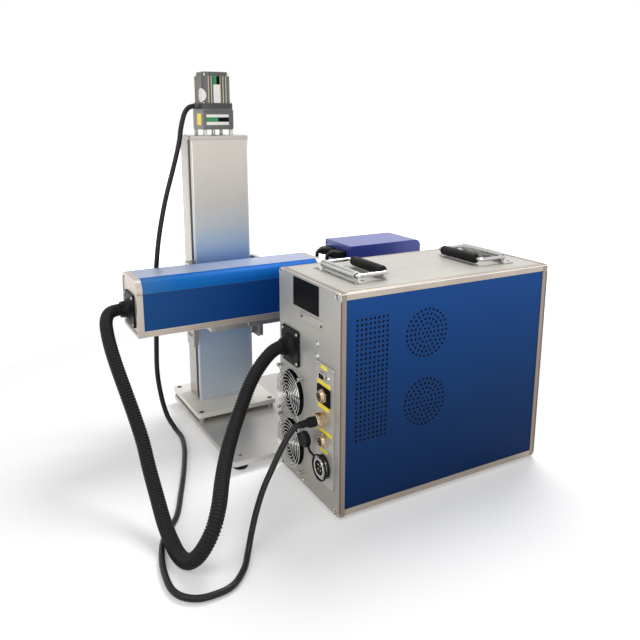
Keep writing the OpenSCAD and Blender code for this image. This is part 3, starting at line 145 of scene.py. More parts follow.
def mixed(tree, share, a, b):
    """Colour a turned towards colour b by a share."""
    node = tree.nodes.new("ShaderNodeMix")
    node.data_type = "RGBA"
    for place, value in ((0, share), (6, a), (7, b)):
        feed(tree, node.inputs[place], value)
    return node.outputs[2]


def noise(tree, vector, scale, detail=2.0, roughness=0.5):
    """The level of a noise, from 0 to 1."""
    node = tree.nodes.new("ShaderNodeTexNoise")
    named = {"Vector": vector, "Scale": scale, "Detail": detail, "Roughness": roughness}
    for label, value in named.items():
        feed(tree, node.inputs[label], value)
    return node.outputs["Fac"]


def object_place(tree):
    """Where a point is on its object, which is its place in the frame."""
    return tree.nodes.new("ShaderNodeTexCoord").outputs["Object"]


def vectors(tree, operation, a, b):
    """The outputs of vector maths on two others."""
    node = tree.nodes.new("ShaderNodeVectorMath")
    node.operation = operation
    tree.links.new(a, node.inputs[0])
    tree.links.new(b, node.inputs[1])
    return node.outputs


def grain_group():
    """Fine grain, drawn out along an axis by its stretch, as a height and a roughness."""
    tree, takes, gives = shader_group(
        "Surface grain",
        [
            ("Stretch", "NodeSocketVector", (1, 1, 1)),
            ("Scale", "NodeSocketFloat", 400),
            ("Roughness", "NodeSocketFloat", 0.4),
            ("Spread", "NodeSocketFloat", 0.1),
        ],
        [("Height", "NodeSocketFloat"), ("Roughness", "NodeSocketFloat")],
    )
    place = object_place(tree)
    drawn = vectors(tree, "MULTIPLY", place, takes["Stretch"])["Vector"]
    height = noise(tree, drawn, takes["Scale"], 4, 0.62)
    patches = noise(tree, place, 14, 3)
    fine, broad = [maths(tree, "SUBTRACT", level, 0.5) for level in (height, patches)]
    change = maths(tree, "ADD", fine, broad)
    rough = maths(tree, "MULTIPLY_ADD", change, takes["Spread"], takes["Roughness"], clamp=True)
    tree.links.new(height, gives["Height"])
    tree.links.new(rough, gives["Roughness"])
    return tree


def tint_group():
    """Two close colours that change over in soft patches."""
    tree, takes, gives = shader_group(
        "Soft tint",
        [
            ("Colour", "NodeSocketColor", (0.5, 0.5, 0.5, 1)),
            ("Second", "NodeSocketColor", (0.4, 0.4, 0.4, 1)),
            ("Scale", "NodeSocketFloat", 8),
        ],
        [("Colour", "NodeSocketColor")],
    )
    patches = noise(tree, object_place(tree), takes["Scale"], 4, 0.6)
    share = maths(tree, "MULTIPLY_ADD", patches, 2.4, -0.7, clamp=True)
    tree.links.new(mixed(tree, share, takes["Colour"], takes["Second"]), gives["Colour"])
    return tree


def wear_group():
    """A broken line along edges, where the finish has rubbed thin."""
    tree, takes, gives = shader_group(
        "Edge wear",
        [("Reach", "NodeSocketFloat", 0.0006), ("Amount", "NodeSocketFloat", 0.5)],
        [("Mask", "NodeSocketFloat")],
    )
    rounded = tree.nodes.new("ShaderNodeBevel")
    rounded.samples = 4
    tree.links.new(takes["Reach"], rounded.inputs["Radius"])
    flat = tree.nodes.new("ShaderNodeNewGeometry").outputs["Normal"]
    turn = vectors(tree, "DOT_PRODUCT", rounded.outputs["Normal"], flat)["Value"]
    broken = maths(tree, "MULTIPLY_ADD", noise(tree, object_place(tree), 90, 4, 0.7), 2.2, -0.6, clamp=True)
    edge = maths(tree, "MULTIPLY", maths(tree, "SUBTRACT", 1.0, turn), 6, clamp=True)
    mask = maths(tree, "MULTIPLY", maths(tree, "MULTIPLY", edge, broken), takes["Amount"], clamp=True)
    tree.links.new(mask, gives["Mask"])
    return tree


def dust_group():
    """Thin dust on what faces up, in fine uneven specks."""
    tree, takes, gives = shader_group(
        "Settled dust", [("Amount", "NodeSocketFloat", 0.1)], [("Mask", "NodeSocketFloat")]
    )
    normal = tree.nodes.new("ShaderNodeSeparateXYZ")
    tree.links.new(tree.nodes.new("ShaderNodeNewGeometry").outputs["Normal"], normal.inputs[0])
    grit = noise(tree, object_place(tree), 160, 5, 0.75)
    specks = maths(tree, "MULTIPLY_ADD", grit, 3, -1.1, clamp=True)
    up = maths(tree, "MULTIPLY_ADD", normal.outputs["Z"], 1.4, -0.4, clamp=True)
    share = maths(tree, "MULTIPLY_ADD", specks, 0.8, 0.2)
    mask = maths(tree, "MULTIPLY", maths(tree, "MULTIPLY", up, share), takes["Amount"], clamp=True)
    tree.links.new(mask, gives["Mask"])
    return tree


GRAIN, TINT, WEAR, DUST = grain_group(), tint_group(), wear_group(), dust_group()
DUST_COLOUR = linear("#B5AFA4")


def placed_group(tree, group, **values):
    """The outputs of a shader group placed in a material with its own values."""
    node = tree.nodes.new("ShaderNodeGroup")
    node.node_tree = group
    for label, value in values.items():
        node.inputs[label].default_value = value
    return node.outputs


def changing(tree, axis, stops):
    """A colour that changes along an axis. stops are places on the drawing with their colours."""
    place = tree.nodes.new("ShaderNodeSeparateXYZ")
    tree.links.new(object_place(tree), place.inputs[0])
    low, high = stops[0][0], stops[-1][0]
    span = high - low
    before = low - MIDDLE["XYZ".index(axis)]
    ramp = tree.nodes.new("ShaderNodeValToRGB")
    share = maths(tree, "MULTIPLY_ADD", place.outputs[axis], 1000 / span, -before / span, clamp=True)
    tree.links.new(share, ramp.inputs["Fac"])
    marks = ramp.color_ramp.elements
    for k, (where, colour) in enumerate(stops):
        spot = (where - low) / span
        mark = marks[k] if k < 2 else marks.new(spot)
        mark.position = spot
        mark.color = linear(colour)
    return ramp.outputs["Color"]


ALONG_X, UPRIGHT, EVEN = (0.04, 1, 1), (1, 1, 0.04), (1, 1, 1)


WEAR_REACH, BUMP_DEPTH = 0.0007, 0.0004


def finish(name, colour, second, rough, metal=0.0, scale=900, bump=0.1, stretch=EVEN, spread=0.1,
           patch=7, wear=0.0, worn="#B9B9B6", dust=0.08, coat=0.0, coat_rough=0.12, specular=0.5,
           painted_light_ramp=None):
    """A surface with its grain, soft changes of colour, rubbed edges and a little dust. Its ramp is an axis
    with its stops and a share: a change of tone along the piece that paints light, shade and reflection into
    the colour."""
    material = bpy.data.materials.new(name)
    material.use_nodes = True
    tree = material.node_tree
    shader = tree.nodes["Principled BSDF"]
    shader.inputs["Metallic"].default_value = metal
    shader.inputs["Specular IOR Level"].default_value = specular
    shader.inputs["Coat Weight"].default_value = coat
    shader.inputs["Coat Roughness"].default_value = coat_rough
    tint = placed_group(tree, TINT, Colour=linear(colour), Second=linear(second), Scale=patch)
    colour_out = tint["Colour"]
    if painted_light_ramp:
        axis, stops, share = painted_light_ramp
        colour_out = mixed(tree, share, colour_out, changing(tree, axis, stops))
    if wear:
        rubbed = placed_group(tree, WEAR, Reach=WEAR_REACH, Amount=wear)
        colour_out = mixed(tree, rubbed["Mask"], colour_out, linear(worn))
    if dust:
        settled = placed_group(tree, DUST, Amount=dust)
        colour_out = mixed(tree, settled["Mask"], colour_out, DUST_COLOUR)
    tree.links.new(colour_out, shader.inputs["Base Color"])
    grain = placed_group(tree, GRAIN, Stretch=stretch, Scale=scale, Roughness=rough, Spread=spread)
    tree.links.new(grain["Roughness"], shader.inputs["Roughness"])
    raised = tree.nodes.new("ShaderNodeBump")
    raised.inputs["Strength"].default_value = bump
    raised.inputs["Distance"].default_value = BUMP_DEPTH
    tree.links.new(grain["Height"], raised.inputs["Height"])
    tree.links.new(raised.outputs["Normal"], shader.inputs["Normal"])
    return material


# Painted light, shade and reflection: places along an axis with their colours
# The column cover: a bluish band at the arm's height is a painted reflection of the blue arm, and the paler
# foot is painted light
COVER_PAINTED_REFLECTION = [(42, "#CDD8DE"), (250, "#8CB4DC"), (362, "#8CB2DC"), (400, "#ADC3D6"),
               (432, "#BEC5C8"), (485, "#C1BCB4"), (608, "#C5BFB6")]
# The arm's sides: painted light, a lighter and a darker blue along the arm
ARM_PAINTED_LIGHT = [(-228, "#1D4A80"), (0, "#124182"), (166, "#1348A4")]
# The arm's rounded edges: painted light, lighter at the rear end
ARM_EDGE_PAINTED_LIGHT = [(-228, "#3F70A2"), (-150, "#1A66B0"), (166, "#0A5EB8")]
# The perforated side panels: painted shade, darker towards the bottom
PANEL_PAINTED_SHADE = [(12, "#0B2347"), (150, "#112F59"), (300, "#163D75"), (390, "#1C4784")]
# The end panels: painted shade, darker towards the bottom
REAR_PAINTED_SHADE = [(0, "#A39C92"), (200, "#AAA8A2"), (390, "#BAB8B2")]

# The finishes of the model's slots
finishes = {
    "frame_silver": finish("trim silver", "#B0A599", "#9E9389", 0.38, 0.7, 900, 0.12, ALONG_X),
    "silver_paint": finish("panel silver", "#BAB7B0", "#ADAAA4", 0.44, 0.5, 500, 0.16, patch=11),
    # The side panels take a ramp of painted shade, darker towards the bottom
    "blue_anodised": finish("panel blue with painted shade", "#18427C", "#143A70", 0.42, 0.1, 1500, 0.10, wear=0.2,
                            dust=0.0, specular=0.04, painted_light_ramp=("Z", PANEL_PAINTED_SHADE, 0.85)),
    # The arm's edges take a ramp of painted light, lighter at the rear end
    "bright_blue": finish("arm edge blue with painted light", "#0A5CA8", "#09559C", 0.42, 0.1, 1200, 0.08, ALONG_X,
                          dust=0.0, specular=0.05, painted_light_ramp=("X", ARM_EDGE_PAINTED_LIGHT, 0.85)),
    "violet_blue": finish("head violet blue", "#2B3F9C", "#273A90", 0.44, 0.2, 1300, 0.10, wear=0.5,
                          worn="#6F78D0", dust=0.1, coat=0.6, coat_rough=0.3),
    "silver_anodised": finish("bright silver", "#B9B4AE", "#A9A49F", 0.34, 0.75, 1000, 0.14, ALONG_X),
    # The column's ramp paints the blue arm's reflection, and light near its foot
    "satin_cover": finish("column silver with painted reflection", "#C9C5BF", "#BDB9B4", 0.46, 0.4, 900, 0.08, UPRIGHT,
                          dust=0.0, painted_light_ramp=("Z", COVER_PAINTED_REFLECTION, 0.85)),
    "chrome": finish("polished chrome", "#CDCDCB", "#C0C0BE", 0.12, 1.0, 600, 0.03, spread=0.06),
    "nickel": finish("nickel plate", "#C9C0AE", "#B8AD98", 0.20, 1.0, 700, 0.05, spread=0.08),
    "spring_steel": finish("spring steel", "#8B8B8E", "#6F6F72", 0.32, 1.0, 800, 0.08),
    "rail_steel": finish("ground steel", "#A7A9AB", "#97999B", 0.24, 1.0, 1200, 0.06, UPRIGHT),
    "zinc_steel": finish("zinc plate", "#BDBBB4", "#A5A39A", 0.34, 0.95, 500, 0.12),
    "black_plastic": finish("moulded black", "#141415", "#0F0F10", 0.48, 0, 1800, 0.22, dust=0.02,
                            specular=0.14),
    "red_plastic": finish("button red", "#B01010", "#A00C0C", 0.26, 0, 900, 0.05, coat=0.3),
    "green_plastic": finish("button green", "#12863A", "#0F7431", 0.28, 0, 900, 0.05, coat=0.3),
    "yellow_plastic": finish("button yellow", "#E0B010", "#CFA00C", 0.28, 0, 900, 0.05, coat=0.3),
    "circuit_board": finish("board green", "#0E5A2C", "#0A4A24", 0.40, 0, 300, 0.20),
    "rubber": finish("grip rubber", "#18181A", "#121213", 0.6, 0, 1600, 0.35, dust=0.04, specular=0.15),
    "black_metal": finish("black anodised", "#15161A", "#101114", 0.38, 0.2, 1200, 0.08, wear=0.3,
                          specular=0.2),
    "motor_grey": finish("motor paint", "#5E605F", "#505251", 0.40, 0.25, 1000, 0.18, wear=0.6),
    "mirror": finish("coated mirror", "#E6E6EA", "#DEDEE6", 0.04, 1.0, 300, 0.0, spread=0.02, dust=0.0),
    "hose_black": finish("conduit black", "#151617", "#101112", 0.45, 0, 1500, 0.15, dust=0.02,
                         specular=0.16),
    "cable_black": finish("cable jacket", "#151517", "#0F0F10", 0.34, 0, 700, 0.25, dust=0.03,
                          specular=0.25),
}

# Finishes of single pieces, where a slot's own is too general
label_yellow = finish("blank label yellow", "#FFE608", "#FADB06", 0.42, 0, 600, 0.05, dust=0.02)
label_white = finish("blank label white", "#E4E2DC", "#D8D6D0", 0.45, 0, 600, 0.05, dust=0.02)
label_grey = finish("blank sticker grey", "#D8D5D2", "#CFCCC9", 0.45, 0, 600, 0.05, dust=0.02)
label_green = finish("blank label green", "#12894A", "#0F7C42", 0.42, 0, 600, 0.05, dust=0.02)
label_black = finish("blank plate black", "#0B0C10", "#090A0D", 0.5, 0, 900, 0.08, dust=0.0,
                     specular=0.05)
motor_dark = finish("motor flange paint", "#3E4043", "#36383B", 0.38, 0.3, 1000, 0.15, wear=0.4)
# A lighter copy of the motor's grey paint for the gearbox's sides: painted light
gear_grey_painted_light = finish("gearbox paint with painted light", "#85827C", "#76746F", 0.42, 0.45, 900, 0.2, wear=0.4)
brass = finish("socket brass", "#CDBCA2", "#B9A68B", 0.26, 1.0, 700, 0.06)
# A darker copy of the trim silver for the upright posts: painted shade
post_silver_painted_shade = finish("trim silver upright with painted shade", "#90837A", "#83776D", 0.38, 0.7, 900, 0.12, UPRIGHT)
# The end panels' silver, with a ramp of painted shade darker towards the bottom
rear_silver_painted_shade = finish("rear panel silver with painted shade", "#B2B0AA", "#A3A19B", 0.44, 0.5, 500, 0.16, patch=11,
                     painted_light_ramp=("Z", REAR_PAINTED_SHADE, 0.75))
plate_silver = finish("connector plate silver", "#BEBCB8", "#B1AFAB", 0.4, 0.6, 800, 0.1, UPRIGHT)
groove_brown = finish("trim groove", "#6F6258", "#665A51", 0.5, 0.4, 900, 0.08, UPRIGHT, dust=0.0,
                      specular=0.2)
# Near-white strips that paint highlights along edges
painted_edge_highlight = finish("painted edge highlight", "#F2F0EC", "#EAE8E4", 0.3, 0.4, 900, 0.04, dust=0.0)
scale_silver = finish("scale silver", "#D2CEC6", "#C4C0B8", 0.4, 0.5, 900, 0.06, UPRIGHT)
dark_slot = finish("shadowed steel", "#33322F", "#262523", 0.6, 0.3, 700, 0.1, dust=0.0, specular=0.2)
# The arm's sides take a ramp of painted light along their length
arm_blue_painted_light = finish("arm side blue with painted light", "#16427F", "#12386F", 0.42, 0.2, 1500, 0.08, ALONG_X, dust=0.0,
                  specular=0.08, painted_light_ramp=("X", ARM_PAINTED_LIGHT, 0.9))
arm_strip = finish("arm top silver blue", "#A2AFCB", "#B4BDD2", 0.36, 0.55, 900, 0.1, ALONG_X)
arm_cap = finish("arm cap silver", "#C2B9B0", "#B3AAA1", 0.38, 0.6, 900, 0.12)
arm_tan = finish("arm base silver", "#D4C8BB", "#C5B9AC", 0.38, 0.6, 900, 0.12, ALONG_X)
# A near-white copy of the plate silver that lifts the shaded foot plate: painted light
foot_silver_painted_light = finish("foot silver with painted light", "#F0EBE2", "#E4DFD7", 0.38, 0.15, 900, 0.12, ALONG_X)
base_silver = finish("base plate silver", "#CBC7C2", "#BBB7B2", 0.34, 0.6, 1000, 0.14, ALONG_X)
lens_glass = finish("coated lens glass", "#2B3A34", "#332F3F", 0.03, 0.0, 300, 0.0, spread=0.01,
                    coat=1.0, dust=0.0, specular=0.8)


# Ways to make a piece


MERGE_GAP, SOLID_MERGE_GAP = 1e-7, 2e-6
EDGE_ANGLE, FLAT_ANGLE = 30, 0.6


def shade(mesh, sharp=180, smooth=True):
    """Smooth or flat faces. Edges past an angle in degrees stay sharp."""
    mesh.polygons.foreach_set("use_smooth", [smooth] * len(mesh.polygons))
    if sharp < 180:
        mesh.set_sharp_from_angle(angle=math.radians(sharp))


def piece_of(name, mesh, slot, stands_for=(), body="root", skin=None, sharp=32):
    """A finished mesh as a piece that rides on a body. Its finish is its slot's, or a skin of its
    own."""
    shade(mesh, sharp)
    if not mesh.materials:
        mesh.materials.append(skin or finishes[slot])
    piece = bpy.data.objects.new(name, mesh)
    scene.collection.objects.link(piece)
    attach(piece, body)
    if stands_for:
        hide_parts(*stands_for)
    return piece


def mesh_of(name, build):
    """A closed bmesh as a mesh, with doubles merged and faces turned outwards."""
    bmesh.ops.remove_doubles(build, verts=build.verts, dist=MERGE_GAP)
    bmesh.ops.recalc_face_normals(build, faces=build.faces)
    mesh = bpy.data.meshes.new(name)
    build.to_mesh(mesh)
    build.free()
    return mesh


def softened(node, width, skin=None):
    """A solid of the model with its edges broken by a small rounded bevel, in millimetres."""
    build = bmesh.new()
    build.from_mesh(nodes[node].data)
    bmesh.ops.remove_doubles(build, verts=build.verts, dist=SOLID_MERGE_GAP)
    if width:
        flat = math.radians(FLAT_ANGLE)
        bmesh.ops.dissolve_limit(build, angle_limit=flat, verts=build.verts, edges=build.edges)
    mesh = bpy.data.meshes.new(node)
    build.to_mesh(mesh)
    build.free()
    piece = piece_of(node + "_finished", mesh, slot_of[node], (node,), nodes[node]["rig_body"], skin,
                     EDGE_ANGLE)
    if width:
        edge = piece.modifiers.new("Broken edges", "BEVEL")
        edge.width = width / 1000
        edge.segments = 2
        edge.limit_method = "ANGLE"
        edge.angle_limit = math.radians(EDGE_ANGLE)
        edge.harden_normals = True
    return piece


def even_turns(count, first=0.0):
    """Turns in radians that divide a circle evenly."""
    return [first + 2 * math.pi * k / count for k in range(count)]


def round_about(u, v, radius, turns):
    """Points on a circle, at turns in radians from the first axis."""
    return [(u + radius * math.cos(turn), v + radius * math.sin(turn)) for turn in turns]


def square(u, v, half):
    """The four corners of a square round a middle."""
    return [(u + i * half, v + j * half) for i in (-1, 1) for j in (-1, 1)]


def ring_points(build, centre, u, v, radii):
    """One ring of vertices, with a radius for each, round a centre in the plane of u and v."""
    return [
        build.verts.new(centre + (u * math.cos(turn) + v * math.sin(turn)) * r)
        for turn, r in zip(even_turns(len(radii)), radii)
    ]


def joined(build, rings, closed=False):
    """Faces between each ring and the next."""
    for a, b in zip(rings, rings[1:] + rings[:1] if closed else rings[1:]):
        for k in range(len(a)):
            n = (k + 1) % len(a)
            build.faces.new((a[k], a[n], b[n], b[k]))


# Each way as an axis with the two across it, and as the turns that bring a form's Z there
AXES = {
    "+x": (Vector((1, 0, 0)), Vector((0, 1, 0)), Vector((0, 0, 1))),
    "-x": (Vector((-1, 0, 0)), Vector((0, 0, 1)), Vector((0, 1, 0))),
    "+y": (Vector((0, 1, 0)), Vector((0, 0, 1)), Vector((1, 0, 0))),
    "-y": (Vector((0, -1, 0)), Vector((1, 0, 0)), Vector((0, 0, 1))),
    "+z": (Vector((0, 0, 1)), Vector((1, 0, 0)), Vector((0, 1, 0))),
    "-z": (Vector((0, 0, -1)), Vector((0, 1, 0)), Vector((1, 0, 0))),
}
QUARTER = math.pi / 2
FACING = {
    "-x": (0, -QUARTER, 0), "+x": (0, QUARTER, 0), "-y": (QUARTER, 0, 0), "+y": (-QUARTER, 0, 0),
    "+z": (0, 0, 0), "-z": (math.pi, 0, 0),
}


def turned(place, way, profile, sides=40, ripple=None, tube=False):
    """A turned form: (along, radius) pairs in millimetres from a place, along an axis.
    ripple is (count, share, first, last): flutes cut into that stretch of the profile.
    A tube's last ring is joined to its first."""
    axis, u, v = AXES[way]
    build = bmesh.new()
    rings, caps = [], []
    for along, radius in profile:
        centre = at(*place) + axis * along / 1000
        if radius < 1e-4:
            caps.append((build.verts.new(centre), len(rings)))
            continue
        radii = [radius / 1000] * sides
        if ripple and ripple[2] <= along <= ripple[3]:
            waves = [0.5 - 0.5 * math.cos(ripple[0] * turn) for turn in even_turns(sides)]
            radii = [radius / 1000 * (1 - ripple[1] * wave) for wave in waves]
        rings.append(ring_points(build, centre, u, v, radii))
    joined(build, rings, tube)
    for tip, index in caps:
        rim = rings[0] if index == 0 else rings[-1]
        for k in range(sides):
            build.faces.new((rim[k], rim[(k + 1) % sides], tip))
    return mesh_of("turned", build)


def rounded(u0, v0, u1, v1, r, steps=6):
    """Outline of a rectangle with round corners."""
    corners = ((u1 - r, v1 - r, 0), (u0 + r, v1 - r, 90), (u0 + r, v0 + r, 180), (u1 - r, v0 + r, 270))
    quarter = [90 * k / steps for k in range(steps + 1)]
    return [
        spot
        for u, v, first in corners
        for spot in round_about(u, v, r, [math.radians(first + turn) for turn in quarter])
    ]


PLANES = {
    "yz": lambda u, v, w: at(w, u, v),
    "xz": lambda u, v, w: at(u, w, v),
    "xy": lambda u, v, w: at(u, v, w),
}


def slab(plane, outline, back, front, edge=0.0):
    """A plate with a given outline, from its back to its front face, its front rim rounded."""
    put = PLANES[plane]
    build = bmesh.new()
    low = [build.verts.new(put(u, v, back)) for u, v in outline]
    high = [build.verts.new(put(u, v, front)) for u, v in outline]
    build.faces.new(low)
    top = build.faces.new(high)
    joined(build, [low, high])
    bmesh.ops.recalc_face_normals(build, faces=build.faces)
    if edge:
        bmesh.ops.bevel(
            build, geom=list(top.edges), offset=edge / 1000, segments=2, profile=0.5, affect="EDGES"
        )
    return mesh_of("slab", build)


def tile(plane, box, r, back, front, edge=0.0, steps=6):
    """A plate with round corners. box is its low and its high corner on the plane."""
    return slab(plane, rounded(*box, r, steps), back, front, edge)


def ring_slab(plane, outer, inner, back, front):
    """A plate with a hole. Both outlines have the same number of points."""
    put = PLANES[plane]
    build = bmesh.new()
    loops = ((outer, back), (outer, front), (inner, front), (inner, back))
    joined(build, [[build.verts.new(put(u, v, w)) for u, v in outline] for outline, w in loops], True)
    return mesh_of("ring slab", build)


def polygon(u, v, radius, sides, turn=0.0):
    """Outline of an even-sided figure, with its first corner turned from the first axis."""
    return round_about(u, v, radius, even_turns(sides, math.radians(turn)))


def together(meshes):
    """Several meshes as one."""
    build = bmesh.new()
    for mesh in meshes:
        build.from_mesh(mesh)
        bpy.data.meshes.remove(mesh)
    mesh = bpy.data.meshes.new("joined")
    build.to_mesh(mesh)
    build.free()
    return mesh


def point_mesh(name, points, edges=()):
    """Points of the frame as a mesh, loose or joined by edges."""
    mesh = bpy.data.meshes.new(name)
    mesh.from_pydata(points, edges, [])
    return mesh


def between(a, b, c, d, t):
    """A point of the smooth curve between b and c, whose neighbours are a and d."""
    return (2 * b + (c - a) * t + (2 * a - 5 * b + 4 * c - d) * t * t + (3 * b - a - 3 * c + d) * t**3) / 2


def smooth_line(points, steps=8):
    """A smooth curve through points of the drawing, in the frame."""
    p = [at(*q) for q in points]
    last = len(p) - 1
    line = [
        between(p[max(i - 1, 0)], p[i], p[i + 1], p[min(i + 2, last)], k / steps)
        for i in range(last)
        for k in range(steps)
    ]
    return line + [p[last]]


def rod_along(line, radius, sides=12):
    """A round rod along a line of the frame, with flat ends. radius is in millimetres."""
    build = bmesh.new()
    rings = []
    side = None
    for i, p in enumerate(line):
        way = (line[min(i + 1, len(line) - 1)] - line[max(i - 1, 0)]).normalized()
        if side is None:
            side = way.orthogonal().normalized()
        side = (side - way * side.dot(way)).normalized()
        rings.append(ring_points(build, p, side, way.cross(side), [radius / 1000] * sides))
    joined(build, rings)
    build.faces.new(rings[0])
    build.faces.new(rings[-1])
    return mesh_of("rod", build)


# Trees for what repeats or follows a line


def new_tree(name, takes):
    """A geometry tree with a mesh in, its named inputs and a mesh out."""
    tree = bpy.data.node_groups.new(name, "GeometryNodeTree")
    tree.is_modifier = True
    tree.interface.new_socket("Geometry", in_out="INPUT", socket_type="NodeSocketGeometry")
    for label, kind in takes:
        tree.interface.new_socket(label, in_out="INPUT", socket_type=kind)
    tree.interface.new_socket("Geometry", in_out="OUTPUT", socket_type="NodeSocketGeometry")
    return tree, tree.nodes.new("NodeGroupInput").outputs, tree.nodes.new("NodeGroupOutput").inputs


def node_in(tree, kind, inputs=None, out=None):
    """An output of a new node whose inputs are linked or set by name."""
    node = tree.nodes.new(kind)
    for label, value in (inputs or {}).items():
        feed(tree, next(s for s in node.inputs if s.name == label and s.enabled), value)
    return next(s for s in node.outputs if s.enabled and out in (None, s.name))


def closed_tree(tree, geometry, takes, gives):
    """A tree with its end: the copies made real, then their finish."""
    real = node_in(tree, "GeometryNodeRealizeInstances", {"Geometry": geometry})
    coated = node_in(tree, "GeometryNodeSetMaterial", {"Geometry": real, "Material": takes["Finish"]})
    tree.links.new(coated, gives["Geometry"])
    return tree


def grown(name, tree, mesh, values):
    """The plain mesh that a tree grows on a mesh."""
    holder = bpy.data.objects.new(name, mesh)
    scene.collection.objects.link(holder)
    modifier = holder.modifiers.new(name, "NODES")
    modifier.node_group = tree
    for item in tree.interface.items_tree:
        if item.item_type == "SOCKET" and item.in_out == "INPUT" and item.name in values:
            modifier[item.identifier] = values[item.name]
    bpy.context.view_layer.update()
    shaped = holder.evaluated_get(bpy.context.evaluated_depsgraph_get())
    grown_mesh = bpy.data.meshes.new_from_object(shaped)
    holder.modifiers.clear()
    bpy.data.objects.remove(holder)
    return grown_mesh


def fastener_tree():
    """A head on every point, facing one way, each turned by its own amount."""
    tree, takes, gives = new_tree("Fasteners", [
        ("Head", "NodeSocketObject"), ("Facing", "NodeSocketVector"), ("Seed", "NodeSocketInt"),
        ("Turn", "NodeSocketFloat"), ("Finish", "NodeSocketMaterial")])
    head = node_in(tree, "GeometryNodeObjectInfo", {"Object": takes["Head"]}, "Geometry")
    facing = node_in(tree, "FunctionNodeEulerToRotation", {"Euler": takes["Facing"]})
    heads = node_in(tree, "GeometryNodeInstanceOnPoints", {
        "Points": takes["Geometry"], "Instance": head, "Rotation": facing})
    turn = node_in(tree, "FunctionNodeRandomValue", {
        "Min": 0.0, "Max": takes["Turn"], "Seed": takes["Seed"]})
    spin = node_in(tree, "ShaderNodeCombineXYZ", {"Z": turn})
    own = node_in(tree, "FunctionNodeEulerToRotation", {"Euler": spin})
    spun = node_in(tree, "GeometryNodeRotateInstances", {
        "Instances": heads, "Rotation": own, "Local Space": True})
    return closed_tree(tree, spun, takes, gives)


CIRCLE_SIDES, WIRE_SIDES = 72, 10


def guard_tree():
    """Round wire rings, one outside the other, drawn back along X as they grow."""
    tree, takes, gives = new_tree("Guard rings", [
        ("Rings", "NodeSocketInt"), ("First", "NodeSocketFloat"), ("Step", "NodeSocketFloat"),
        ("Dish", "NodeSocketFloat"), ("Wire", "NodeSocketFloat"), ("Finish", "NodeSocketMaterial")])
    count = node_in(tree, "GeometryNodeMeshLine", {"Count": takes["Rings"], "Offset": (0, 0, 0)})
    index = node_in(tree, "GeometryNodeInputIndex")
    radius = maths(tree, "MULTIPLY_ADD", index, takes["Step"], takes["First"])
    size = node_in(tree, "ShaderNodeCombineXYZ", {"X": radius, "Y": radius, "Z": 1.0})
    circle = node_in(tree, "GeometryNodeCurvePrimitiveCircle", {"Resolution": CIRCLE_SIDES, "Radius": 1.0})
    rings = node_in(tree, "GeometryNodeInstanceOnPoints", {
        "Points": count, "Instance": circle, "Scale": size})
    dish = maths(tree, "MULTIPLY", maths(tree, "POWER", index, 2), takes["Dish"])
    back = node_in(tree, "ShaderNodeCombineXYZ", {"Z": dish})
    moved = node_in(tree, "GeometryNodeTranslateInstances", {"Instances": rings, "Translation": back})
    lines = node_in(tree, "GeometryNodeRealizeInstances", {"Geometry": moved})
    wire = node_in(tree, "GeometryNodeCurvePrimitiveCircle", {
        "Resolution": WIRE_SIDES, "Radius": takes["Wire"]})
    swept = node_in(tree, "GeometryNodeCurveToMesh", {"Curve": lines, "Profile Curve": wire})
    along_x = node_in(tree, "FunctionNodeEulerToRotation", {"Euler": FACING["+x"]})
    placed = node_in(tree, "GeometryNodeInstanceOnPoints", {
        "Points": takes["Geometry"], "Instance": swept, "Rotation": along_x})
    return closed_tree(tree, placed, takes, gives)


STEPS_PER_RIB, CROWN_POWER = 8, 0.55


def conduit_tree():
    """A tube along a line whose wall rises and falls in even ribs, with both ends closed."""
    tree, takes, gives = new_tree("Ribbed conduit", [
        ("Radius", "NodeSocketFloat"), ("Groove", "NodeSocketFloat"), ("Ribs", "NodeSocketInt"),
        ("Sides", "NodeSocketInt"), ("Finish", "NodeSocketMaterial")])
    line = node_in(tree, "GeometryNodeMeshToCurve", {"Mesh": takes["Geometry"]})
    count = maths(tree, "MULTIPLY_ADD", takes["Ribs"], STEPS_PER_RIB, 1)
    even = node_in(tree, "GeometryNodeResampleCurve", {"Curve": line, "Count": count})
    index = node_in(tree, "GeometryNodeInputIndex")
    wave = maths(tree, "SINE", maths(tree, "MULTIPLY", index, math.pi / STEPS_PER_RIB))
    crown = maths(tree, "POWER", maths(tree, "ABSOLUTE", wave), CROWN_POWER)
    valley = maths(tree, "SUBTRACT", takes["Radius"], takes["Groove"])
    radius = maths(tree, "MULTIPLY_ADD", crown, takes["Groove"], valley)
    circle = node_in(tree, "GeometryNodeCurvePrimitiveCircle", {"Resolution": takes["Sides"], "Radius": 1.0})
    swept = node_in(tree, "GeometryNodeCurveToMesh", {
        "Curve": even, "Profile Curve": circle, "Scale": radius, "Fill Caps": True})
    return closed_tree(tree, swept, takes, gives)


FASTENERS, GUARD, CONDUIT = fastener_tree(), guard_tree(), conduit_tree()

# Screw heads. Each is its outline as shares of the height and the radius, its bore as shares of
# the radius at each side, and the height of the bore's floor as a share
HEAD_SIDES = 24
CROSS_BORE = [0.34 * (1.6 if k % 6 == 0 else 0.55) for k in range(HEAD_SIDES)]
HEXAGON_BORE = [0.5 / math.cos(math.radians((k * 15) % 60 - 30)) for k in range(HEAD_SIDES)]
HEADS = {
    "cross": ([(0, 1), (0.45, 0.98), (0.8, 0.8), (0.96, 0.6)], CROSS_BORE, 0.35),
    "cap": ([(0, 1), (0.86, 1), (1, 0.92)], HEXAGON_BORE, 0.4),
    "dome": ([(0, 1), (0.3, 0.97), (0.6, 0.82), (0.85, 0.55)], [0.2] * HEAD_SIDES, 0.98),
    "pin": ([(0, 0.9), (0.1, 1), (0.85, 1), (1, 0.85)], [0.6] * HEAD_SIDES, 0.97),
}
HEAD_SHARP = 35


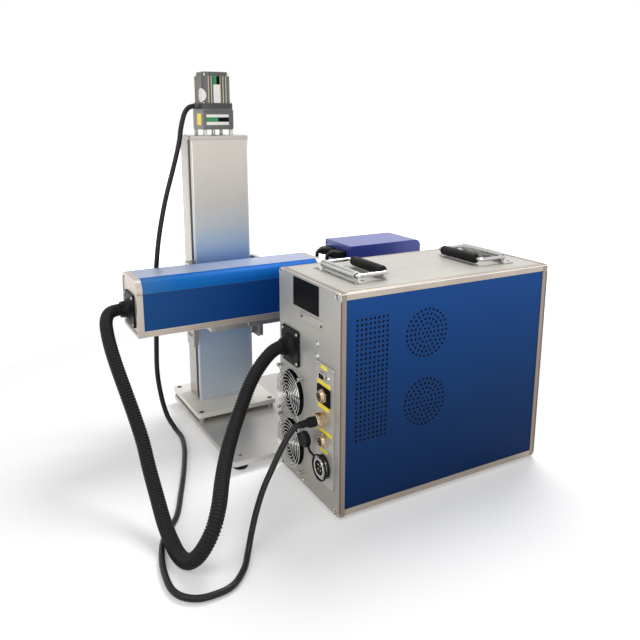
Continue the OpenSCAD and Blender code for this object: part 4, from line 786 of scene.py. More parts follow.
def screw_head(name, diameter, height, kind):
    """A head that stands on its point along Z."""
    outline, bore, floor = HEADS[kind]
    r, h = diameter / 2000, height / 1000
    up, u, v = AXES["+z"]
    build = bmesh.new()
    rings = [ring_points(build, up * (z * h), u, v, [share * r] * HEAD_SIDES) for z, share in outline]
    for z, share in ((1, 1), (floor, 0.9)):
        rings.append(ring_points(build, up * (z * h), u, v, [share * k * r for k in bore]))
    joined(build, rings)
    build.faces.new(rings[0])
    build.faces.new(rings[-1])
    mesh = mesh_of(name, build)
    shade(mesh, HEAD_SHARP)
    return bpy.data.objects.new(name, mesh)


def repeated(name, head, spots, facing, skin, seed=0, turn=0.0):
    """Copies of a head at places of the drawing, each turned by up to a given amount."""
    points = point_mesh(name, [at(*p) for p in spots])
    mesh = grown(name, FASTENERS, points, {
        "Head": head, "Facing": facing, "Seed": seed, "Turn": turn, "Finish": skin})
    bpy.data.objects.remove(head)
    return mesh


def screws(name, spots, way, diameter, height, kind="cross", slot="zinc_steel", seed=1, body="root",
           skin=None):
    """Heads at places of the drawing, all facing one way."""
    head = screw_head(name + "_head", diameter, height, kind)
    mesh = repeated(name, head, spots, FACING[way], skin or finishes[slot], seed, math.tau)
    return piece_of(name, mesh, slot, body=body, sharp=HEAD_SHARP)


# Hose and cable

HOSE_LENGTH, HOSE_D, HOSE_GROOVE, HOSE_RIBS, HOSE_SIDES = 0.991, 24, 2.0, 196, 28
hose_line = smooth_line([
    (-226, 400, 297), (-238, 400, 297), (-250, 400, 297),
    (-263, 397, 296), (-273, 387, 292), (-280, 369, 283), (-283, 345, 267), (-283, 318, 245),
    (-280, 292, 219), (-275, 264, 188), (-269, 234, 152), (-265, 203, 118), (-265, 170, 86),
    (-265, 130, 56), (-266, 90, 33), (-265, 54, 18.5), (-263, 26, 12.5), (-258, 2, 15.5),
    (-249, -15, 29), (-237, -23, 50), (-222, -19, 73), (-206, 0, 94), (-188, 34, 110),
    (-167, 70, 126), (-143, 103, 146), (-117, 130, 172), (-91, 149, 205), (-67, 160, 230),
    (-42, 167, 249), (-24, 169, 256), (-12, 169, 256), (0, 169, 256),
])
guide = point_mesh("hose line", hose_line, [(i, i + 1) for i in range(len(hose_line) - 1)])
hose_mesh = grown("hose", CONDUIT, guide, {
    "Radius": HOSE_D / 2000, "Groove": HOSE_GROOVE / 1000, "Ribs": HOSE_RIBS, "Sides": HOSE_SIDES,
    "Finish": finishes["hose_black"]})
shade(hose_mesh)
hose = bpy.data.objects.new("ribbed_conduit", hose_mesh)
scene.collection.objects.link(hose)
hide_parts("ribbed_hose")
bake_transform(hose)

CABLE_LENGTH, CABLE_D, CABLE_SIDES = 1.5986, 10.0, 20
cable_line = smooth_line([
    (-47, 515, 675), (-54, 515, 674), (-61, 515, 670), (-68, 514, 661), (-73, 513, 648),
    (-78, 512, 630), (-84, 510, 600), (-99, 506, 552), (-121, 498, 488), (-138, 491, 425),
    (-149, 485, 367), (-156, 481, 300), (-160, 478, 208), (-163, 475, 134), (-158, 472, 76),
    (-150, 462, 34), (-141, 440, 12), (-138, 404, 6), (-149, 352, 6), (-166, 300, 6),
    (-182, 256, 6), (-202, 206, 6), (-232, 136, 6), (-266, 90, 6), (-286, 36, 6), (-293, -18, 6),
    (-288, -48, 6), (-270, -67, 6), (-245, -73, 6), (-214, -68, 6), (-186, -42, 6), (-167, -12, 8),
    (-151, 11, 22), (-137, 23, 48), (-121, 31, 78), (-101, 37, 108), (-81, 42, 137), (-67, 43.5, 155),
    (-57, 44, 164), (-49.3, 44, 166),
])
cable = piece_of("motor_lead", rod_along(cable_line, CABLE_D / 2, CABLE_SIDES), "cable_black",
                 ("motor_cable",))

# The cable's plug: a knurled brass ring, a ribbed body and a boot that thins to the cable
PLUG = (-6.3, SOCKET_Y, MOTOR_SOCKET)
PLUG_RING = [(0, 9.8), (0, 12), (0.8, 13), (2.2, 13), (2.6, 12.2), (3, 12.8), (11.5, 12.8), (12, 12.2),
             (12.4, 13), (14, 13), (15, 11.5), (15, 9)]
PLUG_BODY = [(14.6, 0), (14.6, 9), (16, 9), (17, 8.2), (18, 8.2), (19, 9), (24, 9), (25, 8.2), (27, 8.2),
             (27, 6.5), (28, 6.5), (29, 6.1), (30.5, 6.1), (31.5, 6.5), (33, 6.5), (34, 5.9), (35.5, 5.9),
             (36.5, 6.2), (38, 6.1), (39, 5.6), (41, 5.5), (43, 5.2), (43, 0)]
PLUG_KNURL = (36, 0.035, 2.8, 11.7)
plug_ring = piece_of("plug_ring", turned(PLUG, "-x", PLUG_RING, 72, PLUG_KNURL), "nickel", skin=brass)
plug_body = piece_of("plug_body", turned(PLUG, "-x", PLUG_BODY, 48), "black_plastic", ("motor_plug",))


# Solids that keep their form, by the width of their broken edges

skins = {
    "end_frames": post_silver_painted_shade, "motor": finishes["motor_grey"], "gearbox": gear_grey_painted_light, "arm_base": arm_tan,
    "arm_side_panels": arm_blue_painted_light, "arm_top_strip": arm_strip, "arm_end_caps": arm_cap,
    "foot_plate": foot_silver_painted_light, "rear_panel": rear_silver_painted_shade, "front_panel": rear_silver_painted_shade,
    "connector_plate": plate_silver, "base_plate": base_silver,
}
for width, names in {
    0: ("rear_bail", "front_bail"),
    0.1: ("mirror_x", "mirror_y"),
    0.2: ("upper_fan_rotor", "lower_fan_rotor", "control_board"),
    0.3: ("key", "lead_screw", "arm_corner_covers", "arm_top_strip", "motor"),
    0.4: ("connector_plate", "handle_bases", "standoffs", "arm_side_panels"),
    0.5: ("corner_rails", "end_frames", "bottom_plate", "rear_panel", "front_panel", "fan_housings",
          "laser_source", "column_body", "arm_base", "laser_head"),
    0.6: ("top_cover", "column_cover", "column_top_plate", "guide_rails", "slide_blocks", "arm_end_caps",
          "scan_motors"),
    0.8: ("cabinet_hose_flange", "power_supply", "power_button", "start_button", "front_collars",
          "foot_plate", "carriage", "arm_hose_flange", "gearbox"),
    1.0: ("base_plate",),
    1.2: ("head_housing",),
}.items():
    for node in names:
        softened(node, width, skins.get(node))

# The perforated sheets keep flat faces
for node in ("near_side_panel", "far_side_panel"):
    shade(softened(node, 0).data, smooth=False)


# Cabinet: fan guards, and dark sheets behind the perforated sides that paint the interior's shade

GUARD_RINGS, GUARD_FIRST, GUARD_STEP, GUARD_DISH, GUARD_WIRE = 7, 7.0, 6.16, 0.03, 0.9
SPOKE_START, SPOKE_LEAD, SPOKE_END, SPOKE_BACK = 2, 0.8, [(51.5, 1.2), (55.5, 1.0)], 2.4 * GUARD_WIRE
POST = [(0, 2), (0, 3), (7.6, 3), (7.8, 3.8), (9.3, 3.8), (9.5, 3.4), (9.5, 2)]
POST_FACE = -9.6
fan_centres = [(FAN_Y, z) for z in (FAN_HIGH, FAN_LOW)]
fan_corners = [spot for y, z in fan_centres for spot in square(y, z, FAN_PITCH / 2)]


def guard_circles():
    """The wire rings of both guards, without a finish of their own."""
    hubs = point_mesh("fan centres", [at(GUARD_WIRE - GUARD_OUT, y, z) for y, z in fan_centres])
    circles = grown("guard rings", GUARD, hubs, {
        "Rings": GUARD_RINGS, "First": GUARD_FIRST / 1000, "Step": GUARD_STEP / 1000,
        "Dish": GUARD_DISH / 1000, "Wire": GUARD_WIRE / 1000, "Finish": finishes["chrome"]})
    circles.materials.clear()
    return circles


def guard_spoke(y, z, turn):
    """A wire that crosses a guard's rings behind them, out to its post."""
    steps = range(GUARD_RINGS + 1)
    run = [(SPOKE_START + GUARD_STEP * k, GUARD_DISH * max(k - SPOKE_LEAD, 0) ** 2) for k in steps]
    c, n = math.cos(math.radians(turn)), math.sin(math.radians(turn))
    line = [at(SPOKE_BACK - GUARD_OUT + back, y + r * c, z + r * n) for r, back in run + SPOKE_END]
    return rod_along(line, GUARD_WIRE, 8)


spokes = [guard_spoke(y, z, turn) for y, z in fan_centres for turn in (45, 135, 225, 315)]
posts = [turned((-0.2, y, z), "-x", POST, 20, tube=True) for y, z in fan_corners]
piece_of("finger_guards", together([guard_circles()] + spokes + posts), "nickel", ("fan_guards",),
         skin=finishes["chrome"])
screws("guard_screws", [(POST_FACE, y, z) for y, z in fan_corners], "-x", 7.6, 2.2, seed=3)

# Black sheets just inside both perforated sides: painted shade of the cabinet's interior
INTERIOR_SHEET_BOX = (14, 20, 432, 376)
interior_sheet_faces = ((4.2, 5.4), (CAB_W - 4.2, CAB_W - 5.4))
interior_sheets = [tile("xz", INTERIOR_SHEET_BOX, 3, back, front) for back, front in interior_sheet_faces]
piece_of("dust_filters", together(interior_sheets), "rubber")


# Cabinet: screws, cups, lines and covers of the panels

FLANGE_SCREW_INSET = 6
CUP_SIDE, CUP_TOP, CUP_LOW = 9.4, 6.6, 12.6
FILM = 0.08


def flange_screws(name, flange, body, diameter, height, seed):
    """A screw in each corner of a hose flange."""
    x, y, z, side = flange
    spots = [(x - FLANGE_T, v, w) for v, w in square(y, z, side / 2 - FLANGE_SCREW_INSET)]
    screws(name, spots, "-x", diameter, height, seed=seed, body=body)


def cups(name, spots, way, bore):
    """Turned cup washers round the screws of a panel."""
    rim = bore + 2.8
    profile = [(-0.2, bore), (-0.2, rim), (0.6, rim), (1.2, rim - 1), (0.4, bore)]
    piece_of(name, together([turned(spot, way, profile, 28, tube=True) for spot in spots]), "chrome")


flange_screws("cabinet_flange_screws", CAB_FLANGE, "root", 6.6, 2.2, 5)

for end, x, way, out in (("rear", 0, "-x", -0.5), ("front", CAB_L, "+x", 0.5)):
    cup_spots = [(x, y, z) for z in (CAB_H - CUP_TOP, CUP_LOW) for y in (CAB_W - CUP_SIDE, CUP_SIDE)]
    cups(end + "_corner_cups", cup_spots, way, 3.4)
    screws(end + "_corner_screws", cup_spots, way, 6.8, 0.6, "cap", "black_metal", 7)
    pips = [(x + out, y, z) for x, y, z in cup_spots]
    screws(end + "_corner_pips", pips, way, 3.4, 0.5, "dome", "chrome", 8)

panel_spots = [(0, 72, 288), (0, 72, 267)]
cups("panel_cups", panel_spots, "-x", 3)
screws("panel_screws", panel_spots + [(0, 127, 11.5)], "-x", 6.4, 2, "dome", "chrome", 9)
screws("pocket_screws", [(-1.4, y, 321.8) for y in (126, 58)], "-x", 5.0, 1.0, "cross", "black_metal", 11)

# Fine lines on the two side faces: a dark groove in each upright trim, and a near-white strip along the top
# that is a painted highlight
sides = ((0, -FILM), (CAB_W, FILM))
piece_of("trim_grooves", together([
    tile("xz", (x0, BAR + 1, x1, CAB_H - BAR - 1), 0.4, y, y + out, steps=3)
    for y, out in sides for x0, x1 in ((0.8, 3.8), (CAB_L - 3.8, CAB_L - 0.8))]), "frame_silver",
    skin=groove_brown)
piece_of("trim_edges", together([
    tile("xz", (2, CAB_H - 2.4, CAB_L - 2, CAB_H - 1), 0.4, y, y + out, steps=3) for y, out in sides]),
    "frame_silver", skin=painted_edge_highlight)

POCKET, BARE_PLATE = (51, 313, 133, 330.6), (68, 335, 159, 386)
piece_of("pocket_cover", tile("yz", POCKET, 1.2, 0.1, -1.4, 0.3), "silver_paint")
piece_of("bare_plate", tile("yz", BARE_PLATE, 1.5, 0.1, -0.9, 0.25), "black_plastic", skin=label_black)


# Cabinet: connector plate, its labels and its sockets

LABELS = [(35, 252.3, 55, 259), (23.6, 224, 66.4, 231), (28, 182, 64, 190), (18.4, 140.6, 71, 147),
          (33.5, 105, 56, 111)]
PAD = (22.9, 192.4, 65.1, 222.6)
PAD_OUT = 2
plate_corners = [(PLATE_X, SOCKET_Y + i * 25, z) for i in (-1, 1) for z in (51, 257)]
screws("plate_screws", plate_corners, "-x", 5.8, 1.8, seed=13)
port_posts = [(PLATE_X, SOCKET_Y + i * 15.4, PORT_Z) for i in (-1, 1)]
screws("port_posts", port_posts, "-x", 7.0, 3.4, "dome", "chrome", 15)
piece_of("connector_labels", together([
    tile("yz", box, 0.6, PLATE_X + 0.1, PLATE_X - 0.35, steps=3) for box in LABELS]), "yellow_plastic",
    skin=label_yellow)
piece_of("pad_plate", tile("yz", PAD, 1, PLATE_X - 0.2, PLATE_X - 2.5, 0.2), "black_plastic",
         skin=label_black)

NUT_R = 11 / math.cos(math.radians(30))
PIN_CIRCLE, PIN_TURNS = 4.1, (0.5, 1.55, 2.6, 4.2, 5.3)
CORE = [(3.8, 0), (3.8, 7.3), (6.2, 7.3), (6.6, 6.8), (6.6, 0)]


def threaded(first, outer):
    """The crests and valleys of a thread, nine half turns from a place along the axis."""
    return [(first + 0.55 * k, outer if k % 2 else outer - 0.5) for k in range(1, 10)]


def socket_shell(place):
    """The nut and the threaded barrel of a round socket."""
    x, y, z = place
    nut = slab("yz", polygon(y, z, NUT_R, 6, 30), x, x - 3, 0.5)
    barrel = [(0, 0), (0, 9.2), (3.2, 9.2)] + threaded(3, 9.5)
    barrel += [(8.6, 9.4), (9, 9), (9, 8), (8.6, 7.4), (4, 7.4), (4, 0)]
    return [nut, turned(place, "-x", barrel, 48)]


def port_box(half_y, half_z):
    """The low and the high corner of a rectangle round the data port's middle."""
    return SOCKET_Y - half_y, PORT_Z - half_z, SOCKET_Y + half_y, PORT_Z + half_z


sockets = [(PLATE_X, SOCKET_Y, MOTOR_SOCKET), (PLATE_X, SOCKET_Y, SPARE_SOCKET),
           (PLATE_X - PAD_OUT, SOCKET_Y, PAD_Z)]
shells = [part for place in sockets for part in socket_shell(place)]
piece_of("socket_shells", together(shells), "nickel", ("round_sockets",), skin=brass)
port_shell = ring_slab("yz", rounded(*port_box(9.5, 5.5), 2), rounded(*port_box(8.3, 4.3), 1.2),
                       PLATE_X + 0.1, PLATE_X - 6)
piece_of("port_shell", port_shell, "nickel", skin=finishes["chrome"])
cores = [turned(place, "-x", CORE, 32) for place in sockets]
cores.append(tile("yz", port_box(8.4, 4.4), 1.2, PLATE_X, PLATE_X - 1.5))
cores.append(tile("yz", port_box(6, 1.5), 0.5, PLATE_X - 1.4, PLATE_X - 5.2))
piece_of("socket_cores", together(cores), "black_plastic")
free_pins = [(x - 6.6, v, w) for x, y, z in sockets[1:] for v, w in round_about(y, z, PIN_CIRCLE, PIN_TURNS)]
screws("socket_pins", free_pins, "-x", 1.7, 1.8, "pin", "nickel", 17, skin=brass)

INLET = (PLATE_X, SOCKET_Y, INLET_Z)
INLET_PIN_TURNS, INLET_SCREW_TURNS = (0.8, 2.35, 3.95, 5.5), (0.785, 2.356, 3.927, 5.498)
INLET_FLANGE = [(0, 0), (0, 20.5), (2.6, 20.5), (3.2, 19.8), (3.2, 0)]
INLET_CORE = [(3.0, 0), (3.0, 12.8), (4.4, 12.8), (4.8, 12.2), (4.8, 0)]
INLET_RING = [(3.1, 12.9), (3.1, 17.6), (4.2, 17.6), (4.6, 16.4)] + threaded(4.6, 16.4)
INLET_RING += [(10.2, 16.4), (11, 15.6), (11, 14.4), (10.4, 13.4), (4.6, 12.9)]
inlet_pins = [(PLATE_X - 4.5, y, z) for y, z in round_about(SOCKET_Y, INLET_Z, 5.6, INLET_PIN_TURNS)]
screws("inlet_pins", inlet_pins, "-x", 3.0, 4.8, "pin", "nickel", 19, skin=brass)
inlet_flange = [turned(INLET, "-x", INLET_FLANGE, 56), turned(INLET, "-x", INLET_CORE, 40)]
piece_of("inlet_flange", together(inlet_flange), "black_plastic", ("power_inlet",))
piece_of("inlet_ring", turned(INLET, "-x", INLET_RING, 60, tube=True), "chrome")
inlet_screws = [(PLATE_X - 3.2, y, z) for y, z in round_about(SOCKET_Y, INLET_Z, 18.4, INLET_SCREW_TURNS)]
screws("inlet_screws", inlet_screws, "-x", 3.4, 0.9, seed=21)

# The inlet's cap hangs on a strap from a band round the inlet
CAP = (-13, 85, 115)
CAP_PROFILE = [(0, 0), (0, 13), (0.8, 14), (7.4, 14), (8.6, 13.2), (9, 12), (9, 9), (8.4, 8.4), (8.4, 0)]
CAP_KNURL = (24, 0.05, 0.7, 7.5)
BAND_PLACE = (-10.6, SOCKET_Y, INLET_Z)
STRAP_R = 2.0
STRAP = [(-14.2, 78, 109), (-16.6, 73.5, 105.2), (-17.4, 69, 101.3), (-15.6, 64.6, 97.6), (-12.8, 60.4, 94)]
BAND = [(0, 20.7), (0, 22.6), (0.5, 23), (2.9, 23), (3.4, 22.6), (3.4, 20.7)]
piece_of("cap_and_strap", together([
    turned(CAP, "-x", CAP_PROFILE, 96, CAP_KNURL),
    rod_along(smooth_line(STRAP, 6), STRAP_R, 12),
    turned(BAND_PLACE, "-x", BAND, 60, tube=True)]), "black_plastic", ("inlet_cap",))


# Cabinet: handles, feet and the controls of the front panel

GRIP_L = 96
GRIP_END = [(0, 0), (0, 6.2), (0.8, 7.6), (2.4, 8.7), (4.5, 9), (8, 9), (8.5, 8.7), (9, 9)]
GRIP_FAR_END = [(87, 9), (87.5, 8.7), (88, 9), (91.5, 9), (93.6, 8.7), (95.2, 7.6), (96, 6.2), (96, 0)]
COIL_TURNS, COIL_R, COIL_WIRE, COIL_STEPS, COIL_HALF = 66, 4.3, 0.42, 10, 54.5
SLOT_ROWS, SLOT_OUT = (-59, -19, 19, 59), 9.5
hinges = (HANDLE_INSET, CAB_L - HANDLE_INSET)


def hinge_coil(hinge):
    """The torsion spring wound round a handle's hinge."""
    count = COIL_TURNS * COIL_STEPS
    turns = [2 * math.pi * k / COIL_STEPS for k in range(count + 1)]
    circle = round_about(hinge, HANDLE_Z, COIL_R, turns)
    line = [at(x, HANDLE_Y - COIL_HALF + 2 * COIL_HALF * k / count, z) for k, (x, z) in enumerate(circle)]
    return rod_along(line, COIL_WIRE, 6)


def handle_slot(x, y):
    """A dark slot in the foot of a handle."""
    return tile("xy", (x - 1.9, y - 5, x + 1.9, y + 5), 1.8, CAB_H + 1.2, CAB_H + 2.06, steps=5)


for name, hinge, toward in (("rear", hinges[0], 1), ("front", hinges[1], -1)):
    place = (hinge + toward * HANDLE_REACH, HANDLE_Y - GRIP_L / 2, HANDLE_Z)
    piece_of(name + "_rubber_grip", turned(place, "+y", GRIP_END + GRIP_FAR_END), "rubber", (name + "_grip",),
             name + "_handle")
piece_of("hinge_springs", together([hinge_coil(hinge) for hinge in hinges]), "spring_steel",
         ("handle_springs",))
slot_lines = [hinge + i * SLOT_OUT for hinge in hinges for i in (-1, 1)]
slot_spots = [(x, HANDLE_Y + row) for x in slot_lines for row in SLOT_ROWS]
piece_of("handle_slots", together([handle_slot(x, y) for x, y in slot_spots]), "chrome", skin=dark_slot)

CAB_FOOT, BASE_FOOT = (6, 13), (14, 16)
CAB_FOOT_INSET, BASE_INSET, FOOT_INSET = 30, 24, 11


def inset(box, by):
    """The four corners of a box, drawn in, in the order of its low and high sides."""
    return [(x, y) for x in (box[0] + by, box[2] - by) for y in (box[1] + by, box[3] - by)]


def rubber_foot(x, y, h, r):
    """A foot of a given height and radius, drawn in a little at its rims."""
    profile = [(0, 0), (0, 0.84 * r), (0.9, 0.9 * r), (0.6 * h, 0.97 * r), (h - 1.2, r), (h - 0.4, 0.97 * r),
               (h, 0.9 * r), (h, 0)]
    return turned((x, y, 0), "+z", profile)


base_corners = inset(BASE, BASE_INSET)
feet = [rubber_foot(*spot, *CAB_FOOT) for spot in inset((0, 0, CAB_L, CAB_W), CAB_FOOT_INSET)]
feet += [rubber_foot(*spot, *BASE_FOOT) for spot in base_corners]
piece_of("rubber_pads", together(feet), "rubber", ("rubber_feet",))

STOP_PROFILE = [(0, 0), (0, 7.5), (24.8, 7.5), (25, 14.5), (25.6, 18.6), (27, 20), (32, 20), (34.2, 19.2),
                (35.8, 17), (36.7, 12.5), (37, 6), (37, 0)]
STOP_FLUTES = (24, 0.03, 26, 33)
piece_of("stop_head", turned((CONTROL_X, CONTROL_Y, STOP_Z), "+x", STOP_PROFILE, 144, STOP_FLUTES),
         "red_plastic", ("stop_button",), "stop_button")
key_rivet = (CAB_L + 21.5, CONTROL_Y - 1.2, STOP_Z - CONTROL_PITCH)
screws("key_rivet", [key_rivet], "-y", 5, 0.5, "dome", "nickel", 23, "key")


# Stand: bolts of its plates, edges and scales of the column

plate_bolts = [(x, y, BASE[5]) for x, y in base_corners]
foot_bolts = [(x, y, FOOT[5]) for x, y in inset(FOOT, FOOT_INSET)]


def bolt_rim(place, r):
    """The rim round a bolt's sunk hole."""
    profile = [(-0.3, r), (-0.3, r + 2.0), (0.35, r + 2.0), (0.35, r + 0.6), (-0.1, r)]
    return turned(place, "+z", profile, 32, tube=True)


piece_of("bolt_rims", together([
    bolt_rim(place, r) for spots, r in ((plate_bolts, 3.4), (foot_bolts, 4.4)) for place in spots]),
    "zinc_steel")
screws("foot_bolts", [(x, y, z - 0.3) for x, y, z in foot_bolts], "+z", 8.6, 1.0, "cap", "black_metal", 25)
screws("base_bolts", [(x, y, z - 1.6) for x, y, z in plate_bolts], "+z", 6.4, 1.0, "cap", "black_metal", 27)

STRIP_LOW, STRIP_HIGH = COLUMN[4] + 4, COLUMN[5] - 4
# Near-white strips along the column cover's upright edges: painted highlights
piece_of("cover_edges", together([
    tile("xz", (x0, STRIP_LOW, x1, STRIP_HIGH), 0.6, COLUMN[1], COLUMN[1] - FILM, steps=3)
    for x0, x1 in ((COLUMN[0] + 0.6, COLUMN[0] + 2.6), (COLUMN[2] - 2.6, COLUMN[2] - 0.6))]),
    "satin_cover", skin=painted_edge_highlight)

SCALE = (500.5, STRIP_LOW, 508.5, STRIP_HIGH)
MARK_Y, MARK_PITCH, MARK_COUNT, MARK_OUT = 504.8, 5, 111, 0.14
for name, x, way in (("rear_scale", COLUMN[0], -1), ("front_scale", COLUMN[2], 1)):
    face = x + way * 0.5
    piece_of(name, tile("yz", SCALE, 0.8, x, face, 0.1, 3), "silver_anodised", skin=scale_silver)
    mark = tile("yz", (-1.5, -0.8, 1.5, 0.8), 0.7, 0, way * MARK_OUT, steps=2)
    mark.transform(Matrix.Translation(-at(0, 0, 0)))
    places = [(face, MARK_Y, STRIP_LOW + 4 + MARK_PITCH * k) for k in range(MARK_COUNT)]
    marks = repeated(name + "_marks", bpy.data.objects.new("mark", mark), places, (0, 0, 0), dark_slot)
    piece_of(name + "_marks", marks, "silver_anodised")

TOP_PLATE_T = 8
top_spots = [(x, y, COLUMN[5] + TOP_PLATE_T) for x in (-60, 46) for y in (484, 542)]
screws("column_top_screws", top_spots, "+z", 5.4, 1.8, "dome", "zinc_steel", 29)


# Stand: motor and gearbox

cap_spots = [(x, y, CAP_Z - 0.4) for x, y in square(MOTOR_X, MOTOR_Y, 24.6)]
screws("motor_cap_screws", cap_spots, "+z", 4.4, 6.5, "dome", "nickel", 31)
flange_spots = [(x, y, BODY_Z - 0.2) for x, y in square(MOTOR_X, MOTOR_Y, 28.7)]
screws("motor_flange_screws", flange_spots, "+z", 5.8, 2.8, "dome", "zinc_steel", 33)


def motor_square(half, r):
    """Outline of a square with round corners, round the motor's axis."""
    return rounded(MOTOR_X - half, MOTOR_Y - half, MOTOR_X + half, MOTOR_Y + half, r)


piece_of("motor_flange_cover",
         ring_slab("xy", motor_square(32.7, 5.2), motor_square(31.6, 4.2), FLANGE_Z + 0.4, BODY_Z - 0.4),
         "motor_grey", skin=motor_dark)

# Thin bright metal strips on the motor's rib faces: painted highlights along the ribs
RIB_OUT, RIB_PITCH = 31, 6.233
rib_painted_highlights = []
for k in range(-3, 4):
    for side in (-1, 1):
        for plane, along, across in (("xz", MOTOR_X, MOTOR_Y), ("yz", MOTOR_Y, MOTOR_X)):
            u, face = along + k * RIB_PITCH, across + side * RIB_OUT
            box = (u - 1, BODY_Z + 0.6, u + 1, CAP_Z - 0.6)
            rib_painted_highlights.append(tile(plane, box, 0.4, face, face + side * FILM, steps=2))
piece_of("motor_rib_lands", together(rib_painted_highlights), "motor_grey", skin=finishes["nickel"])

RIB_FACE, GEAR_FACE, GEAR_SIDE = MOTOR_Y - RIB_OUT, MOTOR_Y - 33, MOTOR_X - 33
for name, box, slot, skin in (
    ("motor_label", (-15.5, 681.6, -1.2, 717.6), "silver_paint", label_white),
    ("motor_label_green", (-15.5, 717.9, -8.6, 734.4), "green_plastic", label_green),
    ("motor_label_black", (-8.6, 717.9, -1.2, 734.4), "black_plastic", label_black),
):
    piece_of(name, tile("xz", box, 0.8, RIB_FACE - 0.06, RIB_FACE - 0.4, steps=3), slot, skin=skin)


STICKER_SIDES, STICKER_T = 36, 0.35


def wrapped_sticker(axis, bend, start, radius, height):
    """A round sticker, half on the face towards -X and half round the upright corner beside it.
    axis is the corner's own, and start the sticker's middle along the wall from the corner."""
    build = bmesh.new()
    turns = even_turns(STICKER_SIDES)
    layers = []
    for lift in (0, STICKER_T):
        rings = []
        for share in (0.2, 0.4, 0.6, 0.8, 1):
            ring = []
            # s runs along the flat face up to the corner, where it turns round the bend
            for s, z in round_about(start, height, share * radius, turns):
                a = max(s, 0) / bend
                x = axis[0] - (bend + lift) * math.cos(a)
                y = axis[1] - (bend + lift) * math.sin(a) - min(s, 0)
                ring.append(build.verts.new(at(x, y, z)))
            rings.append(ring)
        joined(build, rings)
        build.faces.new(rings[0])
        layers.append(rings[-1])
    joined(build, layers)
    return mesh_of("sticker", build)


sticker = wrapped_sticker(axis=(-25.5, 496.5), bend=12.7, start=1, radius=14, height=696.6)
piece_of("motor_sticker", sticker, "silver_paint", skin=label_grey, sharp=50)
# A sheet over the gearbox's front in the motor's own darker grey, beside the lighter copy on its sides:
# painted light and shade of one paint
gear_box = (-39.4, GEAR_Z + 0.8, 25.4, FLANGE_Z - 0.6)
piece_of("gear_face", tile("xz", gear_box, 2.5, GEAR_FACE + 0.3, GEAR_FACE - 0.35, 0.2), "motor_grey",
         skin=finishes["motor_grey"])
white_strips = ((-32.9, 652.6, 15.2, 658.3), (-32.9, 637.2, 15.2, 643.5))
white_plates = [tile("xz", box, 1, GEAR_FACE, GEAR_FACE - 0.7, 0.1) for box in white_strips]
piece_of("gear_plate_white", together(white_plates), "silver_paint", skin=label_white)
for name, box, slot, skin in (
    ("gear_plate_green", (-32.9, 644, -8, 652), "green_plastic", label_green),
    ("gear_plate_black", (-8, 644, 15.2, 652), "black_plastic", label_black),
):
    piece_of(name, tile("xz", box, 0.4, GEAR_FACE, GEAR_FACE - 0.7, steps=2), slot, skin=skin)
piece_of("gear_sticker", tile("yz", (494, 637, 518, 660), 1, GEAR_SIDE + 0.1, GEAR_SIDE - 0.35),
         "yellow_plastic", skin=label_yellow)


# Arm and scan head

flange_screws("arm_flange_screws", ARM_FLANGE, "carriage", 6.4, 2.0, 35)
screws("shelf_screws", [(x, ARM[1] + 0.2, 247) for x in (-80, -7, 66)], "-y", 5.6, 2.4, "cap", "chrome", 37,
       "carriage")
for name, x, way, seed in (("cheek_screws", -87, "-x", 39), ("cheek_screws_front", 73, "+x", 40)):
    spots = [(x, y, z) for y in (470, 485) for z in (200, 230)]
    screws(name, spots, way, 6.5, 2.6, "cap", "zinc_steel", seed, "carriage")

# Dark seam lines along the arm's two sides
arm_sides = ((ARM[1], -0.12), (ARM[3], 0.12))
line_heights = ((255.4, 0.4), (259.6, 0.4), (333.7, 1.2))
rail_lines = [
    tile("xz", (ARM[0] + 12, z, ARM[2] - 12, z + high), 0.15, y - out, y + out, steps=2)
    for y, out in arm_sides for z, high in line_heights]
piece_of("arm_rail_lines", together(rail_lines), "silver_anodised", body="carriage", skin=dark_slot)

LENS_BARREL = [(0, 31), (0, 43.6), (1.4, 45), (3.4, 45), (3.8, 44.5), (4.6, 44.5), (5, 45), (16, 45),
               (16.4, 44.5), (17.2, 44.5), (17.6, 45), (19.7, 45), (20.7, 44), (20.7, 41), (30, 41),
               (30.5, 40.4), (31.5, 40.4), (32, 41), (41, 41), (41, 44.4), (41.6, 45), (46, 45), (46, 33),
               (8.3, 33), (8.3, 31)]
LENS_KNURL = (72, 0.012, 4.9, 16.1)
LENS_GLASS = [(2.2, 0), (2.4, 12), (3.0, 24), (3.9, 31.6), (8.2, 31.6), (8.2, 0)]
piece_of("lens_barrel", turned(LENS, "+z", LENS_BARREL, 288, LENS_KNURL, True), "black_metal", ("lens",),
         "carriage")
piece_of("lens_front", turned(LENS, "+z", LENS_GLASS, 64), "black_metal", body="carriage", skin=lens_glass)

HOOD_LOW, HOOD_HIGH = 357.2, 370.8
HOOD_SCREW = [(0, 0), (0, 2.2), (1, 2.6), (1, 0)]
HOOD_GLAND = [(0, 0), (0, 5.8), (3, 5.6), (3.4, 5.0), (4.4, 5.0), (4.8, 5.5), (6.2, 5.3), (6.6, 4.6),
              (8, 4.5), (8, 0)]
ARM_GLAND = [(0, 0), (0, 6.8), (1.6, 6.8), (2.2, 5.8), (7, 5.2), (7.6, 4.6), (7.6, 0)]
LEAD = [(204, 364), (198, 364), (193.6, 363), (191.2, 360), (191, 356), (190.4, 351.8), (188, 349),
        (184, 348), (176, 348), (165, 348)]
HOOD_OUTLINE = [(229, -16.6), (229, 16.6), (213, 16.6), (206, 12), (200.5, 8), (200.5, -8), (206, -12),
                (213, -16.6)]


